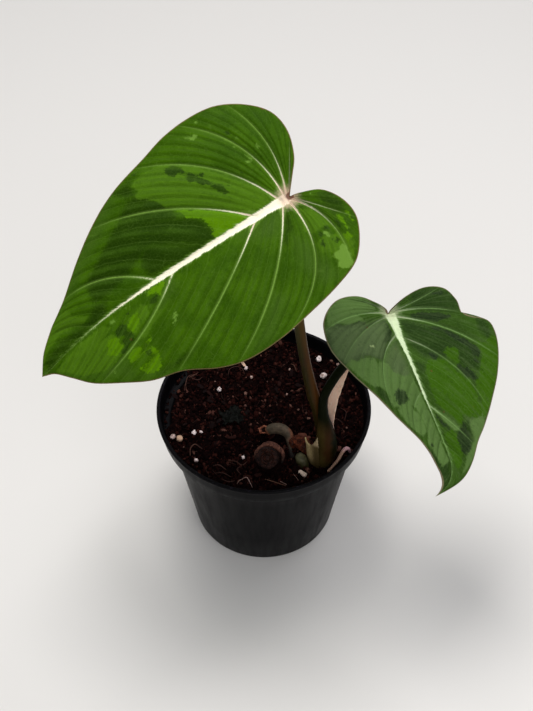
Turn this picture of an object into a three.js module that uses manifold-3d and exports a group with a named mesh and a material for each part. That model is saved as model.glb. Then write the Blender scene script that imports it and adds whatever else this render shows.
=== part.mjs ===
// Philodendron gloriosum, a creeping aroid, with two heart-shaped leaves, in its nursery pot.
// Millimetres, +Z up. The origin is the middle of the pot's underside, where it stands.
// The plant leans to -Y, which is its front.
import * as THREE from 'three';
import { mergeVertices } from 'three/addons/utils/BufferGeometryUtils.js';
import Module from 'manifold-3d';

const wasm = await Module();
wasm.setup();

// Room left between pieces that touch.
const GAP = 0.35;

// The pot: a moulded plastic nursery pot, 12 cm across the rim, with a rolled lip.
const POT_HEIGHT = 95;
const RIM_RADIUS = 60;
const RIM_BAND = 12;
const RIM_TAPER = 1.2;
const LIP = { overhang: 0.9, width: 2.3, height: 2.6, round: 0.8 };
const LEDGE_RADIUS = 54.5;
const BASE_RADIUS = 42;
const WALL = 1.1;
const FLOOR = 1.6;
const BEVEL = 1;
const POT_SIDES = 48;
const DRAIN_HOLES = 6;
const DRAIN_RADIUS = 4.5;
const DRAIN_CIRCLE = 29;

// The soil: its top lies a little below the rim, is lumpy and banks up to the front.
const SOIL_TOP = 86.6;
const SOIL_CELLS = 17;
const SWELL = 0.9;
const CRUMB = 0.9;
const BANK = 0.01;
const SIDE_ROOM = 0.4;

// The large leaf. Along is measured on the midrib from the stalk, and across from the midrib
// to the leaf's left. A vein is [foot on the midrib, end as a share of the margin, bow]. Swing
// bends the midrib sideways by parts that grow with SWING_POWERS of the way to the tip.
const LARGE_LEAF = {
  length: 148.5,
  place: [11.6, -12, 266.1],
  yaw: 206.3,
  pitch: 19.9,
  roll: -24.7,
  droop: 20,
  fold: 7.9,
  curl: 0.0026,
  swing: [-3.7, -4.6, 17.5, -7],
  quilt: 1.3,
  wave: 0.9,
  waves: 3.5,
  midrib: 2.6,
  neck: 14,
  left: {
    margin: [
      [-0.8, 0], [-7.5, 1.8], [-15.9, 6.5], [-21.4, 17], [-20.9, 28.5], [-11.4, 42.6],
      [3, 49.2], [20.5, 53.6], [38.5, 56.5], [56, 56.6], [69.5, 52.8], [84.5, 44.6],
      [100, 39.4], [113.5, 31], [126, 21.6], [134.2, 12], [141.5, 3.7], [148.5, 0],
    ],
    veins: [
      [-0.9, 0.16, 0], [0.1, 0.264, 0.29], [0.6, 0.442, 0.4], [2.9, 0.556, 0.16],
      [17.4, 0.677, 0.07], [63.6, 0.852, 0.18], [108, 0.92, 0.14],
    ],
  },
  right: {
    margin: [
      [-0.8, 0], [-6.8, -7.1], [-13.2, -15.3], [-17.2, -28], [-15.2, -40.3], [-6, -50.4],
      [6, -56.5], [20, -58], [34, -57], [47.7, -53.4], [66, -48.2], [84, -40],
      [102.3, -29.8], [118, -19.7], [131, -13.4], [141.4, -7.3], [148.5, 0],
    ],
    veins: [
      [-0.9, 0.13, 0], [0.6, 0.292, 0.23], [1.1, 0.401, 0.26], [3.4, 0.528, 0.22],
      [17.1, 0.682, 0.16], [73.1, 0.839, 0.21], [112, 0.92, 0.17],
    ],
  },
};

// The small leaf, whose left half is pinched between its lobe and its shoulder.
const SMALL_LEAF = {
  length: 100,
  place: [64.4, -5, 179.2],
  yaw: -72.8,
  pitch: 16.1,
  roll: -11.2,
  droop: 15.9,
  fold: 18.3,
  curl: 0.0022,
  swing: [11, -2.4, 14.8, -26],
  quilt: 1,
  wave: 0.7,
  waves: 3,
  midrib: 2,
  neck: 9,
  left: {
    margin: [
      [1, 0], [-4.5, 10], [-7.6, 22.5], [-4.7, 32.7], [3, 36.6], [11.5, 36],
      [15, 40], [18.2, 46.6], [25, 47.9], [35, 45.6], [47, 40], [59.5, 31.4],
      [70, 23.3], [78, 16.5], [88, 11], [95.5, 7], [100, 0],
    ],
    veins: [
      [0.7, 0.09, 0], [1.4, 0.202, -0.05], [1.5, 0.318, 0.14], [2.7, 0.525, 0.14],
      [15.1, 0.708, 0.22], [53.8, 0.843, 0.06], [76, 0.92, 0.09],
    ],
  },
  right: {
    margin: [
      [1, 0], [-4.7, -6.8], [-8.3, -17.4], [-7, -29], [-1.5, -37.8], [9, -46.6],
      [22, -48.4], [34.6, -40.7], [46.6, -31], [60, -23.3], [73.5, -13.8], [87, -7.9],
      [100, 0],
    ],
    veins: [
      [0.7, 0.09, 0], [1, 0.2, 0.13], [1.5, 0.366, 0.15], [2.6, 0.483, 0.14],
      [13.2, 0.706, 0.35], [46, 0.79, 0.27], [72, 0.9, 0.22],
    ],
  },
};

// Both blades: thickness, height of the side ribs, and the boss over the stalk. The ribs fade
// out over the last few millimetres of the tip. Lines run across at these shares of a gap
// between two veins.
const BLADE = 0.8;
const RIB = 0.9;
const RIB_HALF_WIDTH = 2.2;
const BOSS = 1.7;
const BOSS_RADIUS = 3.4;
const TIP_FADE = 6;
const FLAT_TIP = 0.6;
const SWING_POWERS = [1, 3, 6, 12];
const ACROSS_STEPS = 7;
const GAP_STEPS = [0, 0.16, 0.5, 0.84];

// The stalks, from the crown up to just under their leaves, as [x, y, z, radius].
const LARGE_STALK = {
  steps: 22,
  sides: 10,
  stations: [
    [33.6, -24.6, 80.6, 3.1], [33.1, -24, 90, 3.1], [31.7, -22.6, 101, 3.1], [29.3, -21.6, 118, 3.1],
    [26.7, -20.8, 129.5, 3.4], [24.8, -20, 139, 3.1], [21.8, -18.8, 156, 2.8], [18.1, -16.5, 184, 2.8],
    [14.2, -9, 222, 2.7],
  ],
};
const SMALL_STALK = {
  steps: 24,
  sides: 12,
  stations: [
    [32.6, -31.6, 80.6, 6], [32.7, -31.6, 88, 6.6], [34.2, -30.4, 96, 6.5], [34.4, -30, 104, 5.5],
    [33.5, -29.2, 112, 4.3], [32.3, -26.8, 121, 2.9], [32.4, -24.2, 132, 2.5], [36.6, -20.7, 141, 2.5],
    [42.5, -16.6, 149, 2.5], [52.5, -10.5, 160, 2.5],
  ],
};

// The creeping stem: a cut stub that looks up and forward, an arch that dips into the soil and
// runs on to the crown, and a brown knuckle beside it.
const STUB_TILT = 40.5;
const STUB = {
  steps: 8,
  sides: 10,
  stations: [
    [2.6, -35.2, 92, 6.3], [2.6, -34.6, 91.2, 6.8], [3, -30.4, 86, 6.8], [5.6, -26.4, 80.5, 6.2],
    [11.6, -25.6, 78, 5.4], [18, -28, 77.6, 5],
  ],
};
const SCAR_RING = { place: [2.6, -33, 89.6], radius: 7.4, thickness: 1.1, steps: 16, sides: 6 };
const ARCH = {
  steps: 13,
  sides: 8,
  stations: [
    [-1.8, -14.6, 88.6, 2.6], [0.8, -15, 91.2, 3.3], [6, -16.8, 93, 3.9], [11, -19.7, 92.2, 3.6],
    [13.8, -23.6, 88.4, 2.8], [15.8, -26.6, 83.5, 3.2], [22, -30, 78, 4.6], [33, -32.8, 74.5, 5.8],
  ],
};
const KNUCKLE = {
  steps: 6,
  sides: 8,
  stations: [
    [15.6, -21.6, 82, 2.6], [18, -22.2, 89, 3.5], [22, -24.2, 89.6, 3.6], [26, -27.4, 82, 2.8],
  ],
};
const BUD = {
  steps: 5,
  sides: 8,
  stations: [
    [21.2, -34.6, 83.5, 2], [20.9, -33.6, 87, 2.9], [20.8, -32.6, 90, 3], [20.7, -31.9, 92.4, 1.6],
  ],
};

// Sheaths are thin curved strips. Each row is [x, y, z, half width], from the foot up.
const CATAPHYLL = {
  rows: [
    [36.8, -23.6, 82, 2.8], [37, -23.2, 98, 3], [35.9, -22.8, 108, 3.1], [36.2, -21.6, 118, 3.5],
    [37.4, -20.4, 129, 3.7], [40.8, -18.4, 140, 2.9], [45.2, -17.4, 149.5, 0.5],
  ],
  outward: [0.5, 0.87],
  radius: 6.5,
};
const SHEATH = {
  rows: [
    [25.9, -35.1, 81, 5.2], [25.9, -35.1, 90, 5.3], [26, -34.7, 98, 5.1], [25.4, -34.3, 106, 4.6],
  ],
  outward: [-0.89, -0.454],
  radius: 7.5,
  notch: 5,
  slant: 4,
};
const STRIP = 0.9;
const STRIP_STEPS = 4;

const STRAW = {
  steps: 9,
  sides: 6,
  stations: [
    [35.6, -40.8, 86.8, 0.9], [40.5, -35.6, 89.3, 1.1], [44.6, -29.4, 91.4, 1.2], [47.2, -28.2, 91.2, 1.2],
    [48, -28.2, 88.2, 1],
  ],
};
const LITTER = {
  place: [-15.4, 1.5, 87.4],
  reach: [6.4, 5.1],
  lobes: 5,
  ragged: 0.16,
  crumple: 0.9,
  rows: 4,
  columns: 6,
};

// Perlite grains and bark chips in the soil's top, at [x, y, radius].
const PLACED_PERLITE = [
  [31, 44, 2.2], [33, 34, 2.4], [37.5, 40, 1.4], [41, 35.5, 1.5], [-12, 35, 1.6], [-8, 27, 1.4],
  [14, 32, 1.3], [-27, 19, 1.6], [-12, 17, 1.5], [12, 14, 1.2], [-41, -12, 1.8], [-37, -11, 1.3],
  [-51.5, -15.5, 1.8], [-48, -17, 1.9], [-39, -29, 1.9], [-12, -31, 1.4], [-12, 8, 1.2], [22, -42, 2.4],
  [24, -3, 1.6], [19, 3, 1.2],
];
const LOOSE_PERLITE = 6;
const BARK_CHIPS = 9;
const CHIP_DEPTH = 2.2;
const GRAIN_SINK = 0.3;
const GRAIN_MARGIN = 8;

const radians = THREE.MathUtils.degToRad;

function seededRandom(seed) {
  let state = seed;
  return () => {
    state = (state + 0x6d2b79f5) | 0;
    let mixed = Math.imul(state ^ (state >>> 15), 1 | state);
    mixed = (mixed + Math.imul(mixed ^ (mixed >>> 7), 61 | mixed)) ^ mixed;
    return ((mixed ^ (mixed >>> 14)) >>> 0) / 4294967296;
  };
}

// Welds equal corners and drops the triangles that a pinched row leaves without area.
function weld(points, triangles) {
  const loose = new THREE.BufferGeometry().setFromPoints(points);
  loose.setIndex(triangles.flat());
  const welded = mergeVertices(loose, 1e-3);
  const kept = [];
  for (let i = 0; i < welded.index.count; i += 3) {
    const corner = [0, 1, 2].map((k) => welded.index.getX(i + k));
    if (new Set(corner).size === 3) kept.push(...corner);
  }
  welded.setIndex(kept);
  return welded;
}

function solidOf(geometry) {
  const bare = geometry.clone();
  bare.deleteAttribute('normal');
  bare.deleteAttribute('uv');
  const merged = mergeVertices(bare, 1e-4);
  return new wasm.Manifold(new wasm.Mesh({
    numProp: 3,
    vertProperties: new Float32Array(merged.attributes.position.array),
    triVerts: new Uint32Array(merged.index.array),
  }));
}

function geometryOf(solid) {
  const mesh = solid.getMesh();
  const geometry = new THREE.BufferGeometry();
  geometry.setAttribute('position', new THREE.Float32BufferAttribute(mesh.vertProperties, 3));
  geometry.setIndex(Array.from(mesh.triVerts));
  geometry.computeVertexNormals();
  return geometry;
}

// A closed body between an upper and a lower grid of points, split alike on both faces.
function slab(upper, lower) {
  const rows = upper.length;
  const columns = upper[0].length;
  const size = rows * columns;
  const points = [...upper.flat(), ...lower.flat()];
  const triangles = [];
  for (let r = 0; r < rows - 1; r += 1) {
    for (let c = 0; c < columns - 1; c += 1) {
      const a = r * columns + c;
      const b = a + columns;
      const isLeft = c < (columns - 1) / 2;
      const pair = isLeft ? [[a, b, b + 1], [a, b + 1, a + 1]] : [[a, b, a + 1], [b, b + 1, a + 1]];
      for (const [i, j, k] of pair) triangles.push([i, j, k], [size + i, size + k, size + j]);
    }
  }
  const end = size - columns;
  const border = [];
  for (let c = 0; c < columns - 1; c += 1) border.push([c, c + 1], [end + c + 1, end + c]);
  for (let a = 0; a < end; a += columns) {
    border.push([a + columns - 1, a + 2 * columns - 1], [a + columns, a]);
  }
  for (const [i, j] of border) triangles.push([i, j, size + i], [j, size + j, size + i]);
  return weld(points, triangles);
}

// A round stem through [x, y, z, radius] stations, with flat ends.
function stem({ stations, steps, sides }, grow = 0) {
  const path = new THREE.CatmullRomCurve3(stations.map(([x, y, z]) => new THREE.Vector3(x, y, z)));
  const girth = new THREE.SplineCurve(stations.map((station, i) => new THREE.Vector2(i, station[3])));
  const frames = path.computeFrenetFrames(steps);
  const points = [];
  const triangles = [];
  for (let i = 0; i <= steps; i += 1) {
    const centre = path.getPointAt(i / steps);
    const radius = girth.getPoint(path.getUtoTmapping(i / steps)).y + grow;
    if (i === 0) centre.addScaledVector(frames.tangents[i], -grow);
    if (i === steps) centre.addScaledVector(frames.tangents[i], grow);
    for (let k = 0; k < sides; k += 1) {
      const angle = (k / sides) * 2 * Math.PI;
      points.push(centre.clone()
        .addScaledVector(frames.normals[i], radius * Math.cos(angle))
        .addScaledVector(frames.binormals[i], radius * Math.sin(angle)));
    }
  }
  for (let i = 0; i < steps; i += 1) {
    for (let k = 0; k < sides; k += 1) {
      const a = i * sides + k;
      const b = i * sides + ((k + 1) % sides);
      triangles.push([a, b, a + sides], [b, b + sides, a + sides]);
    }
  }
  const last = steps * sides;
  for (let k = 1; k < sides - 1; k += 1) {
    triangles.push([0, k + 1, k], [last, last + k, last + k + 1]);
  }
  return weld(points, triangles);
}

// A thin strip bent round its length, through [x, y, z, half width] rows. Its top can be notched
// in the middle and slant down to one side.
function strip({ rows, outward, radius, notch = 0, slant = 0 }, grow = 0) {
  const path = new THREE.CatmullRomCurve3(rows.map(([x, y, z]) => new THREE.Vector3(x, y, z)));
  const widths = new THREE.SplineCurve(rows.map((row, i) => new THREE.Vector2(i, row[3])));
  const out = new THREE.Vector3(outward[0], outward[1], 0).normalize();
  const side = out.clone().cross(new THREE.Vector3(0, 0, 1));
  const steps = (rows.length - 1) * 2;
  const faces = [STRIP / 2 + grow, -STRIP / 2 - grow].map((level) => {
    const grid = [];
    for (let i = 0; i <= steps; i += 1) {
      const centre = path.getPoint(i / steps);
      const half = widths.getPoint(i / steps).y + grow;
      const line = [];
      for (let c = -STRIP_STEPS; c <= STRIP_STEPS; c += 1) {
        const share = c / STRIP_STEPS;
        const angle = (share * half) / radius;
        const dip = (notch * (1 - share * share) + slant * share) * (i / steps) ** 3;
        line.push(centre.clone()
          .addScaledVector(out, radius * (Math.cos(angle) - 1) + level * Math.cos(angle))
          .addScaledVector(side, (radius + level) * Math.sin(angle))
          .add(new THREE.Vector3(0, 0, -dip + (i === steps ? grow : 0) - (i === 0 ? grow : 0))));
      }
      grid.push(line);
    }
    return grid;
  });
  return slab(faces[0], faces[1]);
}

// A point of a leaf whose flat place is (along, across), raised from the blade by height. The
// leaf droops along its midrib, is folded up along it, and its sides curl down again.
function bladePoint(leaf, along, across, height) {
  const turn = radians(leaf.droop) / leaf.length;
  const far = Math.max(along, 0) / leaf.length;
  const fold = radians(leaf.fold) * (1 - FLAT_TIP * far ** 4);
  const side = Math.sign(across);
  const slope = fold - leaf.curl * Math.abs(across);
  const reach = (Math.sin(fold) - Math.sin(slope)) / leaf.curl;
  const rise = (Math.cos(slope) - Math.cos(fold)) / leaf.curl + height * Math.cos(slope);
  const swing = leaf.swing.reduce((sum, part, k) => sum + part * far ** SWING_POWERS[k], 0);
  return new THREE.Vector3(
    Math.sin(turn * along) / turn + rise * Math.sin(turn * along),
    side * (reach - height * Math.sin(slope)) + swing,
    -(1 - Math.cos(turn * along)) / turn + rise * Math.cos(turn * along),
  );
}

// Values at a place between the veins, where 0 is the notch, 1 the first vein, and so on.
function betweenVeins(leaf, half, order) {
  const lines = [[half.margin[0][0], 0, 0], ...half.veins, [leaf.length, 1, 0]];
  const first = Math.min(Math.floor(order), lines.length - 2);
  return lines[first].map((value, k) => value + (lines[first + 1][k] - value) * (order - first));
}

// The leaf's blade: lines run from the midrib to the margin, through every side vein. The
// blade is puffed up between the veins and has a rib under each one.
function blade(leaf) {
  const halves = [{ ...leaf.right, side: -1 }, { ...leaf.left, side: 1 }];
  for (const half of halves) {
    half.curve = new THREE.SplineCurve(half.margin.map((p) => new THREE.Vector2(...p)));
  }
  const gaps = leaf.left.veins.length + 1;
  const orders = [];
  for (let gap = 0; gap < gaps; gap += 1) orders.push(...GAP_STEPS.map((step) => gap + step));
  orders.push(gaps);
  const upper = [];
  const lower = [];
  for (const order of orders) {
    const lines = halves.map((half) => {
      const [foot, end, bow] = betweenVeins(leaf, half, order);
      return { half, foot, end, bow, tip: half.curve.getPointAt(end) };
    });
    const middle = (lines[0].foot + lines[1].foot) / 2;
    const toTip = 1 - Math.max(middle, 0) / leaf.length;
    const isVein = Number.isInteger(order) ? 1 : 0;
    const between = Math.sin(Math.PI * (order % 1));
    const upperLine = [];
    const lowerLine = [];
    for (let c = -ACROSS_STEPS; c <= ACROSS_STEPS; c += 1) {
      const { half, foot, end, bow, tip } = lines[c < 0 ? 0 : 1];
      const chord = tip.x - foot;
      const ribShare = Math.min(0.3, RIB_HALF_WIDTH / Math.max(1e-6, Math.hypot(chord, tip.y)));
      const share = c === 0 ? 0 : ribShare + (1 - ribShare) * ((Math.abs(c) - 1) / (ACROSS_STEPS - 1));
      const pull = 2 * share * (1 - share) * bow * half.side;
      const along = c === 0 ? middle : foot + chord * share - pull * tip.y;
      const across = c === 0 ? 0 : tip.y * share + pull * chord;
      const puff = leaf.quilt * between * Math.sin(Math.PI * share) ** 0.6;
      const wave = leaf.wave * Math.sin(2 * Math.PI * leaf.waves * end) * Math.min(1, 6 * toTip);
      const rib = isVein * RIB * (1 - share) ** 0.6 * Math.min(1, 3 * toTip);
      const keel = c === 0 ? leaf.midrib * (0.15 + 0.85 * toTip) : 0;
      const fade = 1 - Math.exp(-Math.abs(along - leaf.length) / TIP_FADE);
      const boss = BOSS * Math.exp(-((along ** 2 + across ** 2) / BOSS_RADIUS ** 2));
      const height = puff + wave * share ** 3;
      upperLine.push(bladePoint(leaf, along, across, height));
      lowerLine.push(bladePoint(leaf, along, across, height - BLADE - Math.max(keel, rib) * fade - boss));
    }
    upper.push(upperLine);
    lower.push(lowerLine);
  }
  return slab(upper, lower);
}

// How a leaf is turned from flat: rolled about its midrib, pitched tip down, then yawed.
function turn(leaf) {
  return new THREE.Euler(radians(leaf.roll), radians(leaf.pitch), radians(leaf.yaw), 'ZYX');
}

// A stalk with a neck on its end that meets its leaf square from below.
function stalk({ stations, steps, sides }, leaf) {
  const down = new THREE.Vector3(0, 0, -1).applyEuler(turn(leaf));
  const radius = stations.at(-1)[3];
  const neck = [leaf.neck, BLADE + leaf.midrib + BOSS + GAP].map((depth) => {
    const centre = new THREE.Vector3(...leaf.place).addScaledVector(down, depth);
    return [...centre.toArray(), radius];
  });
  return { stations: [...stations, ...neck], steps, sides };
}

// A solid turned round the Z axis from a profile of [radius, z].
function turned(profile) {
  const lathe = new THREE.LatheGeometry(profile.map(([r, z]) => new THREE.Vector2(r, z)), POT_SIDES);
  return solidOf(lathe.rotateX(Math.PI / 2));
}

// The pot is a thin tapered shell with a wider band round its top, a rolled lip on the band
// and holes in its floor.
function pot() {
  const ledge = POT_HEIGHT - RIM_BAND;
  const band = RIM_RADIUS - RIM_TAPER;
  const lip = RIM_RADIUS + LIP.overhang;
  const lipFoot = POT_HEIGHT - LIP.height;
  let solid = turned([
    [0, 0], [BASE_RADIUS - BEVEL, 0], [BASE_RADIUS, BEVEL], [LEDGE_RADIUS, ledge - BEVEL], [band, ledge],
    [RIM_RADIUS, lipFoot], [lip, lipFoot + LIP.round], [lip, POT_HEIGHT - LIP.round],
    [lip - LIP.round, POT_HEIGHT], [lip - LIP.width + LIP.round, POT_HEIGHT],
    [lip - LIP.width, POT_HEIGHT - LIP.round],
    [band - WALL, ledge + WALL], [LEDGE_RADIUS - WALL, ledge - BEVEL + WALL],
    [BASE_RADIUS - WALL, FLOOR + BEVEL], [BASE_RADIUS - WALL - BEVEL, FLOOR], [0, FLOOR],
  ]);
  for (let i = 0; i < DRAIN_HOLES; i += 1) {
    const angle = (i / DRAIN_HOLES) * 2 * Math.PI;
    const drill = new THREE.CylinderGeometry(DRAIN_RADIUS, DRAIN_RADIUS, 4 * FLOOR, 16);
    drill.rotateX(Math.PI / 2);
    drill.translate(DRAIN_CIRCLE * Math.cos(angle), DRAIN_CIRCLE * Math.sin(angle), 0);
    solid = solid.subtract(solidOf(drill));
  }
  return geometryOf(solid);
}

// The soil's top at a place, without its crumbs.
function soilHeight(x, y) {
  const ridges = Math.sin(0.19 * x + 1.3 * Math.sin(0.11 * y));
  const furrows = Math.sin(0.23 * y + 1.1 * Math.sin(0.13 * x));
  return SOIL_TOP + SWELL * ridges * furrows - BANK * y;
}

// The soil fills the pot, with grains of perlite and chips of bark sunk in its top. It is a
// square block with a crumbly top, trimmed to the inside of the pot.
function soil(hollows) {
  const ledge = POT_HEIGHT - RIM_BAND;
  const inside = WALL + GAP;
  const low = BASE_RADIUS - inside;
  const high = LEDGE_RADIUS - inside - SIDE_ROOM;
  const top = RIM_RADIUS - RIM_TAPER - inside;
  const cavity = turned([
    [0, FLOOR + GAP], [low - BEVEL, FLOOR + GAP], [low, FLOOR + GAP + BEVEL], [high, ledge - 2 * BEVEL],
    [high, ledge + inside], [top, ledge + inside], [top, POT_HEIGHT], [0, POT_HEIGHT],
  ]);
  const random = seededRandom(5);
  const cell = (2 * RIM_RADIUS) / SOIL_CELLS;
  const upper = [];
  for (let i = 0; i <= SOIL_CELLS; i += 1) {
    const line = [];
    for (let k = 0; k <= SOIL_CELLS; k += 1) {
      const x = i * cell - RIM_RADIUS + 0.5 * cell * (random() - 0.5);
      const y = k * cell - RIM_RADIUS + 0.5 * cell * (random() - 0.5);
      line.push(new THREE.Vector3(x, y, soilHeight(x, y) + 2 * CRUMB * (random() - 0.5)));
    }
    upper.push(line);
  }
  const lower = upper.map((line) => line.map(({ x, y }) => new THREE.Vector3(x, y, 0)));
  const holes = hollows.reduce((all, hollow) => all.add(hollow));
  const lumpy = soilGrains().reduce((all, grain) => all.add(solidOf(grain)), solidOf(slab(upper, lower)));
  return geometryOf(largest(lumpy.intersect(cavity).subtract(holes)));
}

// The one body that holds most of a solid, without loose scraps.
function largest(solid) {
  return solid.decompose().reduce((best, piece) => (piece.volume() > best.volume() ? piece : best));
}

function soilGrains() {
  const random = seededRandom(11);
  const reach = RIM_RADIUS - GRAIN_MARGIN;
  const anywhere = () => {
    const radius = reach * Math.sqrt(random());
    const angle = 2 * Math.PI * random();
    return [radius * Math.cos(angle), radius * Math.sin(angle)];
  };
  const grains = [...PLACED_PERLITE];
  for (let i = 0; i < LOOSE_PERLITE; i += 1) grains.push([...anywhere(), 1 + 0.8 * random()]);
  const shapes = grains.map(([x, y, radius]) => {
    const grain = new THREE.OctahedronGeometry(1.15 * radius, 0);
    grain.rotateX(6 * random());
    grain.rotateZ(6 * random());
    grain.translate(x, y, soilHeight(x, y) + radius * GRAIN_SINK);
    return grain;
  });
  for (let i = 0; i < BARK_CHIPS; i += 1) {
    const [x, y] = anywhere();
    const chip = new THREE.BoxGeometry(3 + 3 * random(), 2 + 1.5 * random(), CHIP_DEPTH);
    chip.rotateY(0.5 * random());
    chip.rotateZ(6 * random());
    chip.translate(x, y, soilHeight(x, y) + 0.2);
    shapes.push(chip);
  }
  return shapes;
}

// The creeping stem grew as one piece: the stub with the scar of an old leaf round it, the arch
// that carries the crown, and the knuckle.
function rhizome(grow = 0) {
  const { place: centre, radius, thickness, steps, sides } = SCAR_RING;
  const ring = new THREE.TorusGeometry(radius, thickness + grow, sides, steps);
  ring.rotateX(radians(STUB_TILT));
  ring.translate(...centre);
  return solidOf(stem(STUB, grow)).add(solidOf(ring))
    .add(solidOf(stem(ARCH, grow))).add(solidOf(stem(KNUCKLE, grow)));
}

// A crumpled scrap of old leaf, flat on the soil.
function litter(grow = 0) {
  const { place: centre, reach, lobes, ragged, crumple, rows, columns } = LITTER;
  const faces = [BLADE / 2 + grow, -BLADE / 2 - grow].map((level) => {
    const grid = [];
    for (let r = 0; r <= rows; r += 1) {
      const line = [];
      for (let c = 0; c <= columns; c += 1) {
        const u = (r / rows) * 2 - 1;
        const v = (c / columns) * 2 - 1;
        const edge = Math.max(Math.abs(u), Math.abs(v));
        const torn = 1 + ragged * edge * Math.sin(lobes * Math.atan2(v, u));
        const round = torn * edge / Math.max(Math.hypot(u, v), 1e-6);
        line.push(new THREE.Vector3(
          centre[0] + (reach[0] + grow) * u * round,
          centre[1] + (reach[1] + grow) * v * round,
          centre[2] + level + crumple * Math.sin(1.6 * u) * Math.cos(2 * v),
        ));
      }
      grid.push(line);
    }
    return grid;
  });
  return slab(faces[0], faces[1]);
}

function looks(color, roughness) {
  return new THREE.MeshStandardMaterial({ color, roughness, metalness: 0 });
}

const plant = new THREE.Group();
plant.name = 'philodendron_gloriosum';

function add(name, geometry, material) {
  const mesh = new THREE.Mesh(geometry, material);
  mesh.name = name;
  plant.add(mesh);
  return mesh;
}

const largeStem = stalk(LARGE_STALK, LARGE_LEAF);
const smallStem = stalk(SMALL_STALK, SMALL_LEAF);
const largeStalk = (grow) => solidOf(stem(largeStem, grow));
const smallStalk = (grow) => solidOf(stem(smallStem, grow));
const cataphyll = (grow) => solidOf(strip(CATAPHYLL, grow));
const sheath = (grow) => solidOf(strip(SHEATH, grow));
const bud = (grow) => solidOf(stem(BUD, grow));
const straw = (grow) => solidOf(stem(STRAW, grow));

// Each piece is cut clear of the ones before it.
const smallStalkBody = largest(smallStalk(0).subtract(largeStalk(GAP)));
const cataphyllBody = largest(cataphyll(0).subtract(smallStalk(GAP)).subtract(largeStalk(GAP)));
const sheathBody = largest(sheath(0).subtract(smallStalk(GAP)).subtract(largeStalk(GAP)));
const rhizomeBody = largest(rhizome().subtract(smallStalk(GAP)).subtract(largeStalk(GAP))
  .subtract(sheath(GAP)).subtract(cataphyll(GAP)));
const budBody = largest(bud(0).subtract(rhizome(GAP)).subtract(sheath(GAP)));
const strawBody = straw(0);
const litterBody = solidOf(litter());
const hollows = [
  largeStalk(GAP), smallStalk(GAP), cataphyll(GAP), sheath(GAP), rhizome(GAP), bud(GAP), straw(GAP),
  solidOf(litter(GAP)),
];

add('pot', pot(), looks(0x1b1a1d, 0.5));
add('soil', soil(hollows), looks(0x2c1a14, 1));
add('rhizome', geometryOf(rhizomeBody), looks(0x6b6650, 0.9));
add('bud', geometryOf(budBody), looks(0x8d9a6a, 0.6));
add('petiole_large', stem(largeStem), looks(0x5c4c22, 0.5));
add('petiole_small', geometryOf(smallStalkBody), looks(0x2c3512, 0.5));
add('cataphyll', geometryOf(cataphyllBody), looks(0xd9bfae, 0.8));
add('sheath', geometryOf(sheathBody), looks(0xa7a57c, 0.6));
add('straw', geometryOf(strawBody), looks(0xb59b93, 0.8));
add('leaf_litter', geometryOf(litterBody), looks(0x232d2a, 0.9));
const blades = [['leaf_large', LARGE_LEAF, 0x3f7a1e], ['leaf_small', SMALL_LEAF, 0x3f6f2c]];
for (const [name, leaf, color] of blades) {
  const mesh = add(name, blade(leaf), looks(color, 0.7));
  mesh.position.set(...leaf.place);
  mesh.rotation.copy(turn(leaf));
}

export default plant;
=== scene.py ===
import math

import bmesh
import bpy
import numpy as np
from mathutils import Euler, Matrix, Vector, noise


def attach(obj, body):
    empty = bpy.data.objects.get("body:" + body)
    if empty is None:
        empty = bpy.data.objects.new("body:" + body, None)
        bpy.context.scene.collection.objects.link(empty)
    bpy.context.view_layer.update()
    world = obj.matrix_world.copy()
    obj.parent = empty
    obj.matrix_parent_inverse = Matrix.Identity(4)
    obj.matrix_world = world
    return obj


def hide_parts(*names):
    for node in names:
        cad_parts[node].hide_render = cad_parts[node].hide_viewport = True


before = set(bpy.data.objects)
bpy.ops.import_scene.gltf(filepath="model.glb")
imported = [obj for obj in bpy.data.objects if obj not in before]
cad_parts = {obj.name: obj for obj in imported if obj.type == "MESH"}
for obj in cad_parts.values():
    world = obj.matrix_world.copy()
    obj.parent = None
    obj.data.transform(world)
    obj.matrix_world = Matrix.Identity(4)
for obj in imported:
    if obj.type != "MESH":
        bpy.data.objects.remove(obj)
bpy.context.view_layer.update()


# ---------------------------------------------------------------------------------------------
# The pot: a thin black nursery pot, injection moulded in one piece. It tapers to a flat base
# with drain holes, and a wider band with a rolled lip stiffens its mouth. All sizes here are in
# millimetres, and the pieces are scaled to metres as they are made.
POT_HEIGHT = 95
POT_SIDES = 192
OUT_OF_ROUND = 0.002
POT_PROFILE = [
    (8, 0.6), (22, 0.6), (24, 0), (40.6, 0), (41.5, 0.3), (41.9, 1), (45.4, 24), (49.2, 48), (52.2, 68),
    (54.3, 81.2), (54.7, 82.2), (55.6, 82.6), (57.6, 82.8), (58.6, 83), (58.9, 83.4), (59.3, 87),
    (59.8, 92.2), (60.4, 92.6), (60.8, 93.1), (60.9, 93.8), (60.75, 94.4), (60.3, 94.85), (59.7, 95),
    (59.1, 94.85), (58.7, 94.4), (58.5, 93.4), (58.2, 89), (57.75, 84.6), (57.3, 84.1), (55.4, 83.5),
    (54.2, 83.2), (53.5, 82.7), (53.1, 81.4), (51, 67), (47.9, 47.5), (44.2, 24), (41.1, 3.2), (40.6, 2.2),
    (39.6, 1.7), (24, 1.6), (8, 1.6),
]
DRAIN_HOLES = 6
DRAIN_RADIUS = 4.5
DRAIN_CIRCLE = 29
DRAIN_SIDES = 24
POT_BEND = math.radians(50)
MM = 0.001
WELD = 1e-6


def paint(red, green, blue):
    """A colour off a 0-255 colour card, as a shader takes it."""
    card = np.array([red, green, blue]) / 255
    return (*np.where(card > 0.04045, ((card + 0.055) / 1.055) ** 2.4, card / 12.92).tolist(), 1)


def all_round(sides):
    """Evenly spaced angles for a full turn."""
    return np.linspace(0, 2 * np.pi, sides, endpoint=False)


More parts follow.
